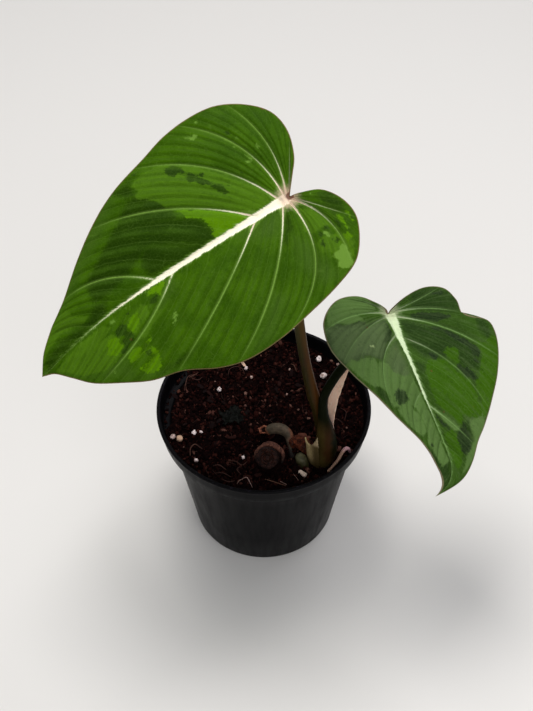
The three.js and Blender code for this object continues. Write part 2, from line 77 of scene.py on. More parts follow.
def quads(rows, columns, joined=False):
    """Faces over a grid of points. joined closes the grid round its columns."""
    last = columns if joined else columns - 1
    row, column = np.meshgrid(np.arange(rows - 1), np.arange(last), indexing="ij")
    near = row * columns + column
    far = row * columns + (column + 1) % columns
    return np.stack([near, far, far + columns, near + columns], axis=-1).reshape(-1, 4).tolist()


def cap(first, sides, tip, end=1):
    """Faces that close a ring of points, numbered from first, with one point at its tip. end is 1
    at the far end of a tube and -1 at its near end."""
    return [[first + k, first + (k + 1) % sides, tip][::end] for k in range(sides)]


def make_piece(name, points, faces, marks=None, turn=True):
    """A mesh object from points in millimetres, with a number on each point for each mark."""
    mesh = bpy.data.meshes.new(name)
    mesh.from_pydata((np.asarray(points, float).reshape(-1, 3) * MM).tolist(), [], faces)
    for mark, values in (marks or {}).items():
        values = np.asarray(values, float)
        kind, field = ("FLOAT", "value") if values.ndim == 1 else ("FLOAT_VECTOR", "vector")
        mesh.attributes.new(mark, kind, "POINT").data.foreach_set(field, values.ravel())
    shape = bmesh.new()
    shape.from_mesh(mesh)
    bmesh.ops.remove_doubles(shape, verts=shape.verts, dist=WELD)
    if turn:
        bmesh.ops.recalc_face_normals(shape, faces=shape.faces)
    shape.to_mesh(mesh)
    shape.free()
    mesh.shade_smooth()
    return stand(name, mesh)


def stand(name, data):
    """Puts a mesh, lamp or camera into the scene."""
    thing = bpy.data.objects.new(name, data)
    bpy.context.collection.objects.link(thing)
    return thing


def finish_piece(piece, finish, node):
    """Gives a piece its material, hangs it under the root body and hides the CAD node it stands for."""
    piece.data.materials.clear()
    piece.data.materials.append(finish.material)
    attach(piece, "root")
    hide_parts(node)


class Tone:
    """What a shader node gives out: a value, place or colour that varies over a surface. Sums
    with it add Math nodes to its tree."""

    def __init__(self, socket):
        self.socket = socket
        self.tree = socket.id_data

    def put(self, operation, other=0.0):
        """Puts it through a sum, with another value where the sum takes two."""
        return add_node(self.tree, "Math", "Value", {0: self, 1: other}, operation=operation)

    def __add__(self, other):
        return self.put("ADD", other)

    def __sub__(self, other):
        return self.put("ADD", -other)

    def __mul__(self, other):
        return self.put("MULTIPLY", other)

    def __truediv__(self, other):
        return self.put("DIVIDE", other)

    def along(self, axis):
        """Its part along X, Y or Z."""
        return add_node(self.tree, "SeparateXYZ", axis, {0: self})


def plug_in(node, values):
    """Plugs tones into a node's sockets and types in plain values."""
    for socket, value in values.items():
        if isinstance(value, Tone):
            node.id_data.links.new(value.socket, node.inputs[socket])
        else:
            node.inputs[socket].default_value = value


def add_node(tree, kind, output, values=None, **settings):
    """Adds a shader node, sets it up and hands on one of its outputs."""
    made = tree.nodes.new("ShaderNode" + kind)
    for setting, value in settings.items():
        setattr(made, setting, value)
    plug_in(made, values or {})
    return Tone(made.outputs[output])


def tree_of(parts):
    """The shader tree that the first tone among the parts belongs to."""
    return next(part.tree for part in parts if isinstance(part, Tone))


def speckle(place, scale, detail=4, rough=0.6, stretch=None):
    """Cloudy variation, 0 to 1, at a scale per metre."""
    if stretch:
        place = add_node(place.tree, "Mapping", "Vector", {"Vector": place, "Scale": stretch})
    values = {"Vector": place, "Scale": scale, "Detail": detail, "Roughness": rough}
    return add_node(place.tree, "TexNoise", "Fac", values)


def step(value, low, high, start=0, end=1):
    """Rises smoothly from start to end as value goes from low to high."""
    values = {"Value": value, "From Min": low, "From Max": high, "To Min": start, "To Max": end}
    return add_node(value.tree, "MapRange", "Result", values, interpolation_type="SMOOTHSTEP")


def coats(under, *layers):
    """Lays colours over one another, each given as (how much of it shows, its colour)."""
    for share, over in layers:
        under, over = (colour if isinstance(colour, Tone) else paint(*colour) for colour in (under, over))
        values = {0: share, 6: under, 7: over}
        under = add_node(tree_of(values.values()), "Mix", 2, values, data_type="RGBA")
    return under


def shades(value, *stops):
    """Colours along a value, as (place, red, green, blue) stops."""
    made = add_node(value.tree, "ValToRGB", "Color", {"Fac": value})
    ramp = made.socket.node.color_ramp
    while len(ramp.elements) < len(stops):
        ramp.elements.new(0.5)
    for element, (place, *colour) in zip(ramp.elements, stops):
        element.position = place
        element.color = paint(*colour)
    return made


class Finish:
    """A material: a shader with its plain settings, ready for what varies over the surface."""

    def __init__(self, name, roughness, shine):
        self.material = bpy.data.materials.new(name)
        self.material.use_nodes = True
        self.tree = self.material.node_tree
        self.shader = self.tree.nodes["Principled BSDF"]
        plug_in(self.shader, {"Roughness": roughness, "Specular IOR Level": shine})

    def place(self):
        """Where on the piece a point is, in metres."""
        return add_node(self.tree, "TexCoord", "Object")

    def mark(self, name, output="Fac"):
        """What a mark on the mesh says there."""
        return add_node(self.tree, "Attribute", output, attribute_name=name)

    def coat(self, colour, relief, strength, depth, **others):
        """Plugs in the colour, and the relief as a bump that is depth deep in metres."""
        values = {"Height": relief, "Strength": strength, "Distance": depth}
        normal = add_node(self.tree, "Bump", "Normal", values)
        plug_in(self.shader, {"Base Color": colour, "Normal": normal, **others})


class Effect:
    """A shader node group with named inputs and outputs, built once and placed in each material
    with its own values."""

    def __init__(self, name, inputs, outputs):
        self.group = bpy.data.node_groups.new(name, "ShaderNodeTree")
        for side, sockets in (("INPUT", inputs), ("OUTPUT", outputs)):
            for kind, names in sockets.items():
                for socket in names.split(", "):
                    self.group.interface.new_socket(name=socket, in_out=side, socket_type="NodeSocket" + kind)
        self.given = self.tones(self.group.nodes.new("NodeGroupInput"))
        self.result = self.group.nodes.new("NodeGroupOutput")

    def tones(self, node):
        """A node's outputs by their names."""
        return {socket.name: Tone(socket) for socket in node.outputs if socket.name}

    def give(self, **results):
        """Plugs in what the effect puts out."""
        plug_in(self.result, results)

    def use(self, **values):
        """Places the effect beside the tones that it is given."""
        made = tree_of(values.values()).nodes.new("ShaderNodeGroup")
        made.node_tree = self.group
        plug_in(made, {socket.replace("_", " "): value for socket, value in values.items()})
        return self.tones(made)


# Dust that settles where a surface looks up, thin and patchy.
dust = Effect("settled_dust", {"Vector": "Place", "Float": "Amount"}, {"Float": "Mask, Height"})
place, amount = dust.given.values()
upward = add_node(dust.group, "NewGeometry", "Normal").along("Z")
lying = step(upward, -0.2, 0.9, 0.15, 1)
patchy = step(speckle(place, 60, 5), 0.35, 0.75)
fine = step(speckle(place, 1400, 2), 0.3, 0.8, 0.4, 1)
dust.give(Mask=lying * patchy * fine * amount, Height=speckle(place, 2000, 2))

profile = np.array(POT_PROFILE)
rows = len(profile)
radius, level = profile[:, :1], profile[:, 1:]
turns = all_round(POT_SIDES)
radius = radius * (1 + OUT_OF_ROUND * np.sin(2 * turns + 0.6) * (level / POT_HEIGHT) ** 2)
level = np.broadcast_to(level, radius.shape)
wall = np.stack([radius * np.cos(turns), radius * np.sin(turns), level], axis=-1).reshape(-1, 3)
middles = [[0, 0, profile[0, 1]], [0, 0, profile[-1, 1]]]
faces = quads(rows, POT_SIDES, joined=True)
faces += cap(0, POT_SIDES, len(wall)) + cap(len(wall) - POT_SIDES, POT_SIDES, len(wall) + 1, -1)
pot = make_piece("pot_shell", np.vstack([wall, middles]), faces)

bore = DRAIN_RADIUS * np.stack([np.cos(all_round(DRAIN_SIDES)), np.sin(all_round(DRAIN_SIDES))], axis=-1)
drill_faces = quads(2, DRAIN_SIDES, joined=True)
drill_faces += [list(range(DRAIN_SIDES)), list(range(DRAIN_SIDES, 2 * DRAIN_SIDES))]
drills = []
for angle in all_round(DRAIN_HOLES):
    middle = DRAIN_CIRCLE * np.array([math.cos(angle), math.sin(angle)])
    tube = [(*spot, end) for end in (-3, 6) for spot in bore + middle]
    drills.append(make_piece("drill", tube, drill_faces))
    cut = pot.modifiers.new("drain", "BOOLEAN")
    cut.operation = "DIFFERENCE"
    cut.object = drills[-1]
    cut.solver = "EXACT"
drilled = bpy.data.meshes.new_from_object(pot.evaluated_get(bpy.context.evaluated_depsgraph_get()))
pot.modifiers.clear()
pot.data = drilled
for drill in drills:
    bpy.data.objects.remove(drill)
pot.data.shade_smooth()
pot.data.set_sharp_from_angle(angle=POT_BEND)

# Black polypropylene: satin, faintly streaked down from the mould, dusty, and scuffed on the lip in a
# purple-grey that is partly a painted highlight.
pot_plastic = Finish("pot_plastic", 0.42, 0.06)
place = pot_plastic.place()
settled = dust.use(Place=place, Amount=0.5)
draw_marks = speckle(place, 220, 3, stretch=(1, 1, 0.06))
scuffs_and_highlight = step(speckle(place, 700, 4, stretch=(1, 1, 3)), 0.56, 0.72)
at_lip = step(place.along("Z"), 0.0915, 0.0935)
plastic = coats(
    shades(draw_marks, (0.3, 4, 4, 5), (0.7, 8, 7, 9)),
    # Scuffs on the lip, tinted purple-grey as a painted highlight.
    (scuffs_and_highlight * at_lip * 0.35, (64, 56, 72)),
    (settled["Mask"] * 0.1, (40, 30, 32)),
)
sheen = step(draw_marks + settled["Mask"], 0.2, 1.1, 0.36, 0.62)
pot_plastic.coat(plastic, draw_marks + settled["Height"] * 0.3, 0.35, 0.0002, Roughness=sheen)
finish_piece(pot, pot_plastic, "pot")


# ---------------------------------------------------------------------------------------------
# The potting mix: damp coir and fine bark, pressed in by hand to a little under the rim. Along
# the left wall it has sunk and left the inner ledge of the pot bare.
SOIL_TOP = 86.6
SWELL = 0.9
BANK = 0.01
SOIL_CELLS = 230
SOIL_SIDE = [
    (57.3, 85.4), (55.5, 84.7), (52.6, 80.8), (51, 68), (44, 25), (40.6, 3), (39.6, 2), (20, 2), (0.5, 2),
]
SUNK = {"middle": 166, "reach": 25, "inner": 46, "edge": 53.1, "level": 82.9}
PITS = [
    (-7.6, -39.5, 5, 2.4), (-4.8, -45.5, 4, 2), (11.8, -36, 3.2, 3), (4.6, -42, 4.5, 2.6),
    (-1, -20, 4, 2.2), (-13.8, 10.5, 4, 1.6), (-33.9, 9.1, 4, 1.4), (14, -28, 3, 3), (28, -42, 4, 1.2),
]
SOIL_REACH = SOIL_SIDE[0][0]
random = np.random.default_rng(7)


def sunk_share(x, y):
    """How far the mix has sunk at the wall there, from 0 to 1."""
    azimuth = np.degrees(np.arctan2(y, x)) % 360
    return np.clip((SUNK["reach"] - np.abs(azimuth - SUNK["middle"])) / 7, 0, 1)


def soil_height(x, y):
    """The soil's top without its crumbs."""
    ridges = np.sin(0.19 * x + 1.3 * np.sin(0.11 * y))
    furrows = np.sin(0.23 * y + 1.1 * np.sin(0.13 * x))
    level = SOIL_TOP + SWELL * ridges * furrows - BANK * y
    for pit_x, pit_y, reach, depth in PITS:
        level = level - depth * np.exp(-((x - pit_x) ** 2 + (y - pit_y) ** 2) / reach ** 2)
    inward = np.clip((np.hypot(x, y) - SUNK["inner"]) / (SUNK["edge"] - SUNK["inner"]), 0, 1)
    share = sunk_share(x, y) * inward ** 1.6
    return level * (1 - share) + SUNK["level"] * share


def uneven(x, y, z, crumpled=False):
    """Soft ups and downs, -1 to 1, at places given as arrays; crumpled has sharper folds, 0 to 1."""
    places = np.broadcast_arrays(x, y, z)
    rise = (lambda spot: noise.turbulence(spot, 3, False)) if crumpled else noise.noise
    return np.array([rise(spot) for spot in zip(*map(np.ravel, places))]).reshape(places[0].shape)


def crumbly(x, y):
    """Clods and crumbs on the soil's top, in millimetres."""
    clods = 1.2 * uneven(x * 0.15, y * 0.15, 1.7) + 1.9 * uneven(x * 0.3, y * 0.3, 4, crumpled=True)
    return clods + 0.8 * uneven(x * 0.9, y * 0.9, 9) - 1.3


def round_grid(size):
    """A square grid of points pressed into a disc of radius 1, and how far out each lies."""
    u, v = np.meshgrid(np.linspace(-1, 1, size), np.linspace(-1, 1, size), indexing="ij")
    out = np.maximum(np.abs(u), np.abs(v))
    scale = out / np.maximum(np.hypot(u, v), 1e-9)
    return u * scale, v * scale, out


def border(rows, columns):
    """The points round the edge of a grid, in order."""
    last = columns * (rows - 1)
    ends = list(range(columns)), [r * columns + columns - 1 for r in range(1, rows)]
    return [*ends[0], *ends[1], *range(last + columns - 2, last - 1, -1), *range(last - columns, 0, -columns)]


bed_x, bed_y, out = round_grid(SOIL_CELLS)
sunk = sunk_share(bed_x, bed_y)
reach = SOIL_REACH * (1 - (1 - SUNK["edge"] / SOIL_REACH) * sunk * out ** 5)
bed_x = bed_x * reach
bed_y = bed_y * reach
calm = np.clip((SOIL_REACH - out * reach) / 1.5, 0.25, 1) * (1 - 0.85 * sunk * (out * reach > 50))
bed_z = soil_height(bed_x, bed_y) + crumbly(bed_x, bed_y) * calm
top = np.stack([bed_x, bed_y, bed_z], axis=-1).reshape(-1, 3)
edge = np.array(border(SOIL_CELLS, SOIL_CELLS))
rim = top[edge]
compass = np.arctan2(rim[:, 1], rim[:, 0])
widest = np.hypot(rim[:, 0], rim[:, 1])
skirt = []
for depth, (reach, level) in enumerate(SOIL_SIDE[1:], 1):
    out = np.minimum(reach, widest - 0.12 * depth)
    level = np.minimum(level, rim[:, 2] - 0.3 * depth)
    skirt.append(np.stack([out * np.cos(compass), out * np.sin(compass), level], axis=-1))
below = len(top) + np.arange(len(edge))
faces = quads(SOIL_CELLS, SOIL_CELLS)
faces += np.stack([edge, np.roll(edge, -1), np.roll(below, -1), below], axis=-1).tolist()
faces += (np.array(quads(len(skirt), len(edge), joined=True)) + len(top)).tolist()
soil = make_piece("soil_bed", np.vstack([top, *skirt]), faces)

potting_mix = Finish("potting_mix", 0.9, 0.02)
place = potting_mix.place()
crumbs = speckle(place, 420, 6, 0.75)
damp = step(speckle(place, 45, 3), 0.4, 0.65)
earth = coats(
    shades(crumbs, (0.38, 8, 3, 3), (0.5, 17, 7, 7), (0.6, 30, 13, 11), (0.74, 50, 25, 20)),
    (damp * 0.45, (11, 5, 5)),
)
potting_mix.coat(earth, crumbs, 0.8, 0.0012, Roughness=step(damp, 0, 1, 0.95, 0.7))
finish_piece(soil, potting_mix, "soil")


# ---------------------------------------------------------------------------------------------
# Loose crumbs of coir pith, each a rough lump, lying close together over the potting mix. They
# range from almost black where they are wet to fox brown and a few of pale bark.
CRUMBS = 5200
FULL_TURN = 6.28
CRUMB_REACH = 57.0
CRUMB_LIMIT = 57.6
BARE_LEDGE = (53, 55.6)
SUNK_CRUMBS = 84.0
KEEP_CLEAR = [(2.6, -35, 8.5), (2.6, -30, 7), (32.5, -31.6, 6.5), (8, -18, 3.5), (20.7, -32.5, 3)]
ICO = (1 + 5 ** 0.5) / 2
LUMP = np.array([
    (-1, ICO, 0), (1, ICO, 0), (-1, -ICO, 0), (1, -ICO, 0), (0, -1, ICO), (0, 1, ICO), (0, -1, -ICO),
    (0, 1, -ICO), (ICO, 0, -1), (ICO, 0, 1), (-ICO, 0, -1), (-ICO, 0, 1),
]) / (1 + ICO * ICO) ** 0.5
LUMP_FACES = np.array([
    (0, 11, 5), (0, 5, 1), (0, 1, 7), (0, 7, 10), (0, 10, 11), (1, 5, 9), (5, 11, 4), (11, 10, 2),
    (10, 7, 6), (7, 1, 8), (3, 9, 4), (3, 4, 2), (3, 2, 6), (3, 6, 8), (3, 8, 9), (4, 9, 5), (2, 4, 11),
    (6, 2, 10), (8, 6, 7), (9, 8, 1),
])


def free_places(count, reach):
    """Random places on the soil, away from what grows out of it."""
    kept = []
    while len(kept) < count:
        out = reach * math.sqrt(random.random())
        angle = 2 * math.pi * random.random()
        x, y = out * math.cos(angle), out * math.sin(angle)
        if all(math.hypot(x - a, y - b) > r for a, b, r in KEEP_CLEAR):
            kept.append((x, y))
    return kept


def turned(shape, angles, place):
    """Turns a shape's points by the angles about X, Y and Z, and moves them to a place."""
    return shape @ np.array(Euler(angles).to_matrix()).T + place


def gather(shapes):
    """Joins many small shapes into one list of points, faces and a tone for each shape."""
    points, faces, tones, used = [], [], [], 0
    for corners, sides, tone in shapes:
        faces += [[index + used for index in side] for side in sides]
        points.append(corners)
        tones.append(np.full(len(corners), tone))
        used += len(corners)
    return np.vstack(points), faces, {"tone": np.concatenate(tones)}


def scatter(name, shapes):
    """One piece made of many small shapes."""
    return make_piece(name, *gather(shapes), turn=False)


crumbs = []
for x, y in free_places(CRUMBS, CRUMB_REACH):
    out = math.hypot(x, y)
    sunk = sunk_share(x, y) > 0.3
    if sunk and BARE_LEDGE[0] < out < BARE_LEDGE[1]:
        continue
    size = 0.4 + 1.2 * random.random() ** 2
    shape = LUMP * size * random.uniform(0.75, 1.3, (12, 1)) * random.uniform((1, 0.6, 0.5), (1.7, 1, 0.9))
    lift = soil_height(x, y) + crumbly(x, y) + 0.2 * size
    if sunk and out >= BARE_LEDGE[1]:
        lift = SUNK_CRUMBS + 0.5 * size
    shape *= min(1, max(CRUMB_LIMIT - out, 0.25) / (1.3 * size))
    shape = turned(shape, random.uniform(0, FULL_TURN, 3), (x, y, lift))
    crumbs.append((shape, LUMP_FACES.tolist(), random.random()))
crumb_layer = scatter("coir_crumbs", crumbs)

coir = Finish("coir_crumb", 0.88, 0.02)
grit = speckle(coir.place(), 1500, 4, 0.7)
pith = coats(
    shades(coir.mark("tone"), (0.0, 10, 3, 4), (0.3, 18, 6, 6), (0.58, 34, 13, 11), (0.84, 50, 22, 18),
           (0.965, 70, 38, 32), (1.0, 112, 76, 66)),
    (step(grit, 0.35, 0.65, 0.6, 0.0), (6, 2, 2)),
)
coir.coat(pith, grit, 0.7, 0.0005)
finish_piece(crumb_layer, coir, "soil")


# ---------------------------------------------------------------------------------------------
# Perlite: white grains of puffed volcanic glass, 2 to 5 mm, some bright and round, some half
# buried and stained by the mix. They lie loose among the crumbs.
PERLITE = [
    (32.6, 41.4, 1.75, 0), (34.9, 27.9, 1.8, 0.1), (39.9, 39.4, 1.2, 0.7), (43.6, 36.2, 1.1, 0.45),
    (-10.5, 33.9, 1.25, 0.1), (-7.3, 26.3, 1.0, 0.3), (-25.9, 18, 1.35, 0), (-10.6, 15, 1.25, 0.75),
    (15.2, 32.4, 0.9, 0.5), (13.3, 13.7, 0.8, 0.6), (-39.4, -14.8, 1.5, 0), (-35.5, -14.1, 1.0, 0.1),
    (-51.2, -18, 1.7, 0.25), (-37.7, -33.6, 1.25, 0.15), (-11.4, -31.9, 0.95, 0.1), (-10.5, 5.7, 1.1, 0.95),
    (25.6, -4.6, 1.3, 0.8), (19.8, 3.2, 0.8, 0.7), (-28.5, 24, 0.7, 0.8), (44, 14, 0.7, 0.6),
    (2, 24, 0.6, 0.9), (-45, -24, 0.7, 0.9), (47, -10, 0.7, 0.8),
]


def rough_ball(radius, levels, ragged, squash=1):
    """A rounded lump with a pitted surface."""
    ball = bmesh.new()
    bmesh.ops.create_icosphere(ball, subdivisions=levels, radius=1)
    shift = Vector(random.uniform(0, 50, 3))
    corners = []
    for corner in ball.verts:
        dent = ragged * noise.fractal(corner.co * 1.7 + shift, 0.8, 2, 3)
        corners.append(np.array(corner.co) * radius * (1 + dent) * squash)
    sides = [[corner.index for corner in face.verts] for face in ball.faces]
    ball.free()
    return np.array(corners), sides


grains = []
for x, y, radius, tone in PERLITE:
    squash = random.uniform((0.85, 0.8, 0.65), (1.15, 1.05, 0.95))
    corners, sides = rough_ball(radius * (1 - 0.25 * tone), 3, 0.45, squash)
    corners = turned(corners, random.uniform(0, FULL_TURN, 3), (x, y, soil_height(x, y) + 0.6 * radius))
    grains.append((corners, sides, tone))
perlite_grains = scatter("perlite_grains", grains)

perlite = Finish("perlite", 0.85, 0.3)
place = perlite.place()
pits = speckle(place, 1300, 4, 0.7)
glassy = coats(
    shades(perlite.mark("tone"), (0.0, 246, 230, 228), (0.35, 196, 164, 154), (0.7, 112, 80, 70),
           (1.0, 70, 42, 36)),
    (step(speckle(place, 380, 3), 0.52, 0.68, 0, 0.8), (120, 84, 68)),
    (step(pits, 0.4, 0.3), (150, 126, 116)),
)
perlite.coat(glassy, pits, 0.6, 0.0004)
finish_piece(perlite_grains, perlite, "soil")


# ---------------------------------------------------------------------------------------------
# Chips of pine bark and husk in the mix: flat flakes, torn along the grain, tan to grey, with
# one big pale chip in front of the crown and a tan one by the left wall.
CHIPS = [
    (21.4, -42.6, 2.7, 1.3, 1.0, -38, 0.98), (-47.4, -18.8, 1.8, 1.6, 1.3, 10, 0.9),
    (-12, 37, 2.0, 0.8, 0.6, 128, 0.92), (-47.8, 14, 1.7, 0.9, 0.6, 60, 0.5),
    (-49.6, 8, 1.6, 0.8, 0.6, 100, 0.45), (21.6, -16.2, 2.6, 1.4, 0.9, 165, 0.66),
    (25, -17.6, 1.6, 1.2, 0.8, 20, 0.62), (18.6, -18.6, 1.5, 1, 0.7, 70, 0.66),
    (-31, 12, 1.9, 1.2, 0.7, 40, 0.12), (-37, 20, 2.4, 1.3, 0.8, 140, 0.06),
    (33, 22, 2.0, 1.1, 0.7, 30, 0.08), (9, 22, 1.8, 1.1, 0.7, 80, 0.3), (43, 8, 1.7, 1.0, 0.7, 120, 0.4),
    (-49.5, 19, 1.3, 1.0, 0.8, 30, 0.6), (-30, 35, 2.2, 1.4, 1, 80, 0.4),
]
LOOSE_CHIPS = 46
CHIP_REACH = 54
CHIP_BEND = math.radians(40)


def chip(length, width, depth):
    """A flake with torn, slightly bent sides."""
    corners, sides = rough_ball(1, 2, 0.35)
    boxy = np.sign(corners) * np.abs(corners) ** 0.55 * (length, width, depth)
    boxy[:, 2] += 0.08 * boxy[:, 0] ** 2 / max(length, 0.5)
    return boxy, sides


flakes = []
for x, y, length, width, depth, spin, tone in CHIPS:
    corners, sides = chip(length, width, depth)
    tilt = (random.uniform(-0.3, 0.3), random.uniform(-0.3, 0.3), math.radians(spin))
    flakes.append((turned(corners, tilt, (x, y, soil_height(x, y) + 0.7 * depth)), sides, tone))
for x, y in free_places(LOOSE_CHIPS, CHIP_REACH):
    length = random.uniform(1.2, 2.6)
    corners, sides = chip(length, length * random.uniform(0.35, 0.7), random.uniform(0.35, 0.7))
    tilt = (random.uniform(-0.5, 0.5), random.uniform(-0.6, 0.6), random.uniform(0, 6))
    tone = random.random() ** 1.4 * 0.5
    flakes.append((turned(corners, tilt, (x, y, soil_height(x, y) + 0.5)), sides, tone))
bark_chips = scatter("bark_chips", flakes)
bark_chips.data.set_sharp_from_angle(angle=CHIP_BEND)

bark = Finish("bark_flake", 0.8, 0.05)
fibre = speckle(bark.place(), 900, 4, 0.65, stretch=(1, 0.25, 1))
flake = coats(
    shades(bark.mark("tone"), (0.0, 14, 7, 8), (0.15, 22, 9, 9), (0.45, 46, 21, 17), (0.7, 100, 60, 48),
           (0.88, 190, 150, 118), (1.0, 244, 220, 205)),
    (step(fibre, 0.35, 0.6, 0.55, 0.0), (30, 15, 11)),
)
bark.coat(flake, fibre, 0.6, 0.0004)
finish_piece(bark_chips, bark, "soil")


# ---------------------------------------------------------------------------------------------
# Fibres: stiff coir hairs and dry rootlets that stick out of the mix, thinner than a match. A
# few long pale ones lie near the front; the rest are short and brown.
FIBRES = [
    ([(-14.7, -49.2, 87.2), (-13.4, -48, 88.6), (-11.4, -47.2, 89)], 0.34, 0.86),
    ([(-11.6, -46.8, 88.8), (-9.4, -46.4, 89.4), (-8, -48.4, 88.8), (-6.2, -51.6, 87)], 0.22, 0.98),
    ([(0.7, -45.9, 87), (4.6, -47.9, 87.8), (8.9, -49.9, 88.2), (12.2, -50.9, 87.6)], 0.38, 0.72),
    ([(9, -47.6, 87.4), (12.4, -50.6, 88.6)], 0.42, 0.86),
    ([(16.5, -43.2, 88), (19.2, -47.6, 88.2)], 0.24, 0.84),
    ([(-41.1, -30, 87), (-40.9, -26, 88.8), (-38.6, -23.6, 89.2), (-35.7, -24.6, 87.4)], 0.5, 0.58),
    ([(-37, -24, 88.6), (-34.4, -25.6, 87.4)], 0.55, 0.48),
    ([(-28.1, -37.1, 87.2), (-24.8, -37.4, 88.4), (-20.9, -39.8, 87.4)], 0.5, 0.5),
    ([(-19.9, -33.6, 87.6), (-15.4, -35, 88.4), (-12.1, -37.1, 88), (-9.3, -34.3, 87.4)], 0.34, 0.52),
    ([(-21, 28, 87.4), (-20, 31.4, 89), (-16.4, 33, 89.4), (-12.8, 31.8, 89), (-11.3, 28.8, 87.4)],
     0.34, 0.42),
    ([(16, 36.6, 87.6), (17.7, 34.3, 89), (19.1, 30.8, 87.6)], 0.42, 0.6),
    ([(-38.6, 30.1, 87.4), (-40.8, 26.8, 89), (-43.6, 25.1, 89.2)], 0.5, 0.56),
    ([(-40, 28, 88.4), (-44, 25.6, 89.4), (-45.4, 21, 88.8), (-46, 16.4, 87.4)], 0.36, 0.54),
    ([(-43, 25.4, 88.6), (-38.4, 23.6, 88.6), (-36, 26.4, 87.6)], 0.42, 0.46),
    ([(-23, -45.9, 87), (-19.4, -48.4, 88), (-16, -47.4, 87.4)], 0.5, 0.46),
    ([(-12.5, -43.2, 87.4), (-14.8, -40.4, 88.4), (-13.4, -38, 87.6)], 0.4, 0.5),
    ([(-27, -42, 87.2), (-22.6, -42.6, 88.2), (-18, -44.8, 87.4)], 0.42, 0.4),
    ([(40, 30, 87.6), (44, 26, 88.8), (47, 20, 87.4)], 0.34, 0.4),
    ([(38, -8, 87.6), (41, -5, 88.6), (45, -7, 87.4)], 0.34, 0.42),
    ([(44, 4, 87.2), (47, 0, 88.4), (46, -5, 87.6)], 0.3, 0.45),
]
LOOSE_FIBRES = 110
FIBRE_REACH = 53
FIBRE_LIMIT = 56


def evenly(curve, count):
    """Rows of a curve, evenly spaced along it. Its places are in the first three columns."""
    steps = np.linalg.norm(np.diff(curve[:, :3], axis=0), axis=1)
    travelled = np.concatenate([[0], np.cumsum(steps)])
    even = np.linspace(0, travelled[-1], count)
    return np.column_stack([np.interp(even, travelled, column) for column in curve.T])


def smooth_path(stations, count):
    """Evenly spaced rows along a smooth curve through the stations."""
    rows = np.array(stations, float)
    gaps = np.linalg.norm(np.diff(rows[:, :3], axis=0), axis=1) ** 0.5
    knots = np.concatenate([[0], np.cumsum(gaps)])
    slopes = np.diff(rows, axis=0) / gaps[:, None]
    spans = (gaps[1:] + gaps[:-1])[:, None]
    bends = np.vstack([slopes[:1], slopes[1:] + slopes[:-1] - (rows[2:] - rows[:-2]) / spans, slopes[-1:]])
    fine = np.linspace(0, knots[-1], 500)
    part = np.clip(np.searchsorted(knots, fine, "right") - 1, 0, len(gaps) - 1)
    span = gaps[part][:, None]
    t = (fine - knots[part])[:, None] / span
    curve = (2 * t ** 3 - 3 * t ** 2 + 1) * rows[part] + (t ** 3 - 2 * t ** 2 + t) * span * bends[part]
    curve += (3 * t ** 2 - 2 * t ** 3) * rows[part + 1] + (t ** 3 - t ** 2) * span * bends[part + 1]
    return evenly(curve, count)


def unit(vectors):
    """Vectors brought to length one."""
    return vectors / np.maximum(np.linalg.norm(vectors, axis=-1, keepdims=True), 1e-9)


def stem(stations, rings, sides, swell=None, dome=0.35):
    """A round stem through [x, y, z, radius] stations, with softly domed ends. swell(rise, angle)
    scales its girth. Returns points, faces, and marks for the way along and the way round."""
    path = smooth_path(stations, rings)
    centre, girth = path[:, :3], path[:, 3]
    ahead = unit(np.gradient(centre, axis=0))
    side = [unit(np.cross(ahead[0], (0.31, 0.95, 0.05)))]
    for direction in ahead[1:]:
        side.append(unit(side[-1] - direction * side[-1].dot(direction)))
    side = np.array(side)
    other = np.cross(ahead, side)
    angle = all_round(sides)
    rise = np.linspace(0, 1, rings)
    reach = girth[:, None] * (swell(rise[:, None], angle) if swell else np.ones((rings, sides)))
    round_about = np.cos(angle)[:, None] * side[:, None] + np.sin(angle)[:, None] * other[:, None]
    points = (centre[:, None] + reach[..., None] * round_about).reshape(-1, 3)
    tips = centre[[0, -1]] + ahead[[0, -1]] * girth[[0, -1], None] * ((-dome,), (dome,))
    count = rings * sides
    faces = quads(rings, sides, joined=True)
    faces += cap(0, sides, count, -1) + cap(count - sides, sides, count + 1)
    length = np.linalg.norm(np.diff(centre, axis=0), axis=1).sum()
    along = np.concatenate([np.repeat(rise * length, sides), [0, length]])
    around = np.concatenate([np.tile(angle, rings), [0, 0]])
    return np.vstack([points, tips]), faces, {"along": along, "around": around}


def hair(stations, rings, sides, tone):
    """A thin stem, as a shape to gather."""
    return (*stem(stations, rings, sides)[:2], tone)


hairs = []
for places, radius, tone in FIBRES:
    stations = [(*spot, 0.66 * radius) for spot in places]
    for end in (0, -1):
        stations[end] = (*places[end], 0.42 * radius)
    hairs.append(hair(stations, 22, 7, tone))
for x, y in free_places(LOOSE_FIBRES, FIBRE_REACH):
    length = random.uniform(2, 5)
    angle = random.uniform(0, 2 * math.pi)
    bend = random.uniform(-1.6, 1.6)
    start = np.array([x, y, soil_height(x, y) + 0.1])
    ahead = np.array([math.cos(angle), math.sin(angle), 0])
    aside = np.array([-math.sin(angle), math.cos(angle), 0])
    middle = start + ahead * length * 0.5 + aside * bend + (0, 0, random.uniform(0.4, 1.6))
    far_end = start + ahead * length
    if math.hypot(far_end[0], far_end[1]) > FIBRE_LIMIT:
        continue
    radius = random.uniform(0.06, 0.15)
    stations = [(*start, radius), (*middle, radius), (*far_end, radius * 0.6)]
    hairs.append(hair(stations, 9, 5, 0.1 + 0.4 * random.random()))
coir_fibres = scatter("coir_fibres", hairs)

strand = Finish("coir_strand", 0.7, 0.2)
flecks = speckle(strand.place(), 1200, 3)
brown = coats(
    shades(strand.mark("tone"), (0.1, 26, 13, 10), (0.5, 58, 33, 26), (0.75, 112, 78, 62),
           (1.0, 206, 170, 160)),
    (step(flecks, 0.42, 0.62, 0.4, 0.0), (52, 28, 20)),
)
strand.coat(brown, flecks, 0.5, 0.0002)
finish_piece(coir_fibres, strand, "soil")


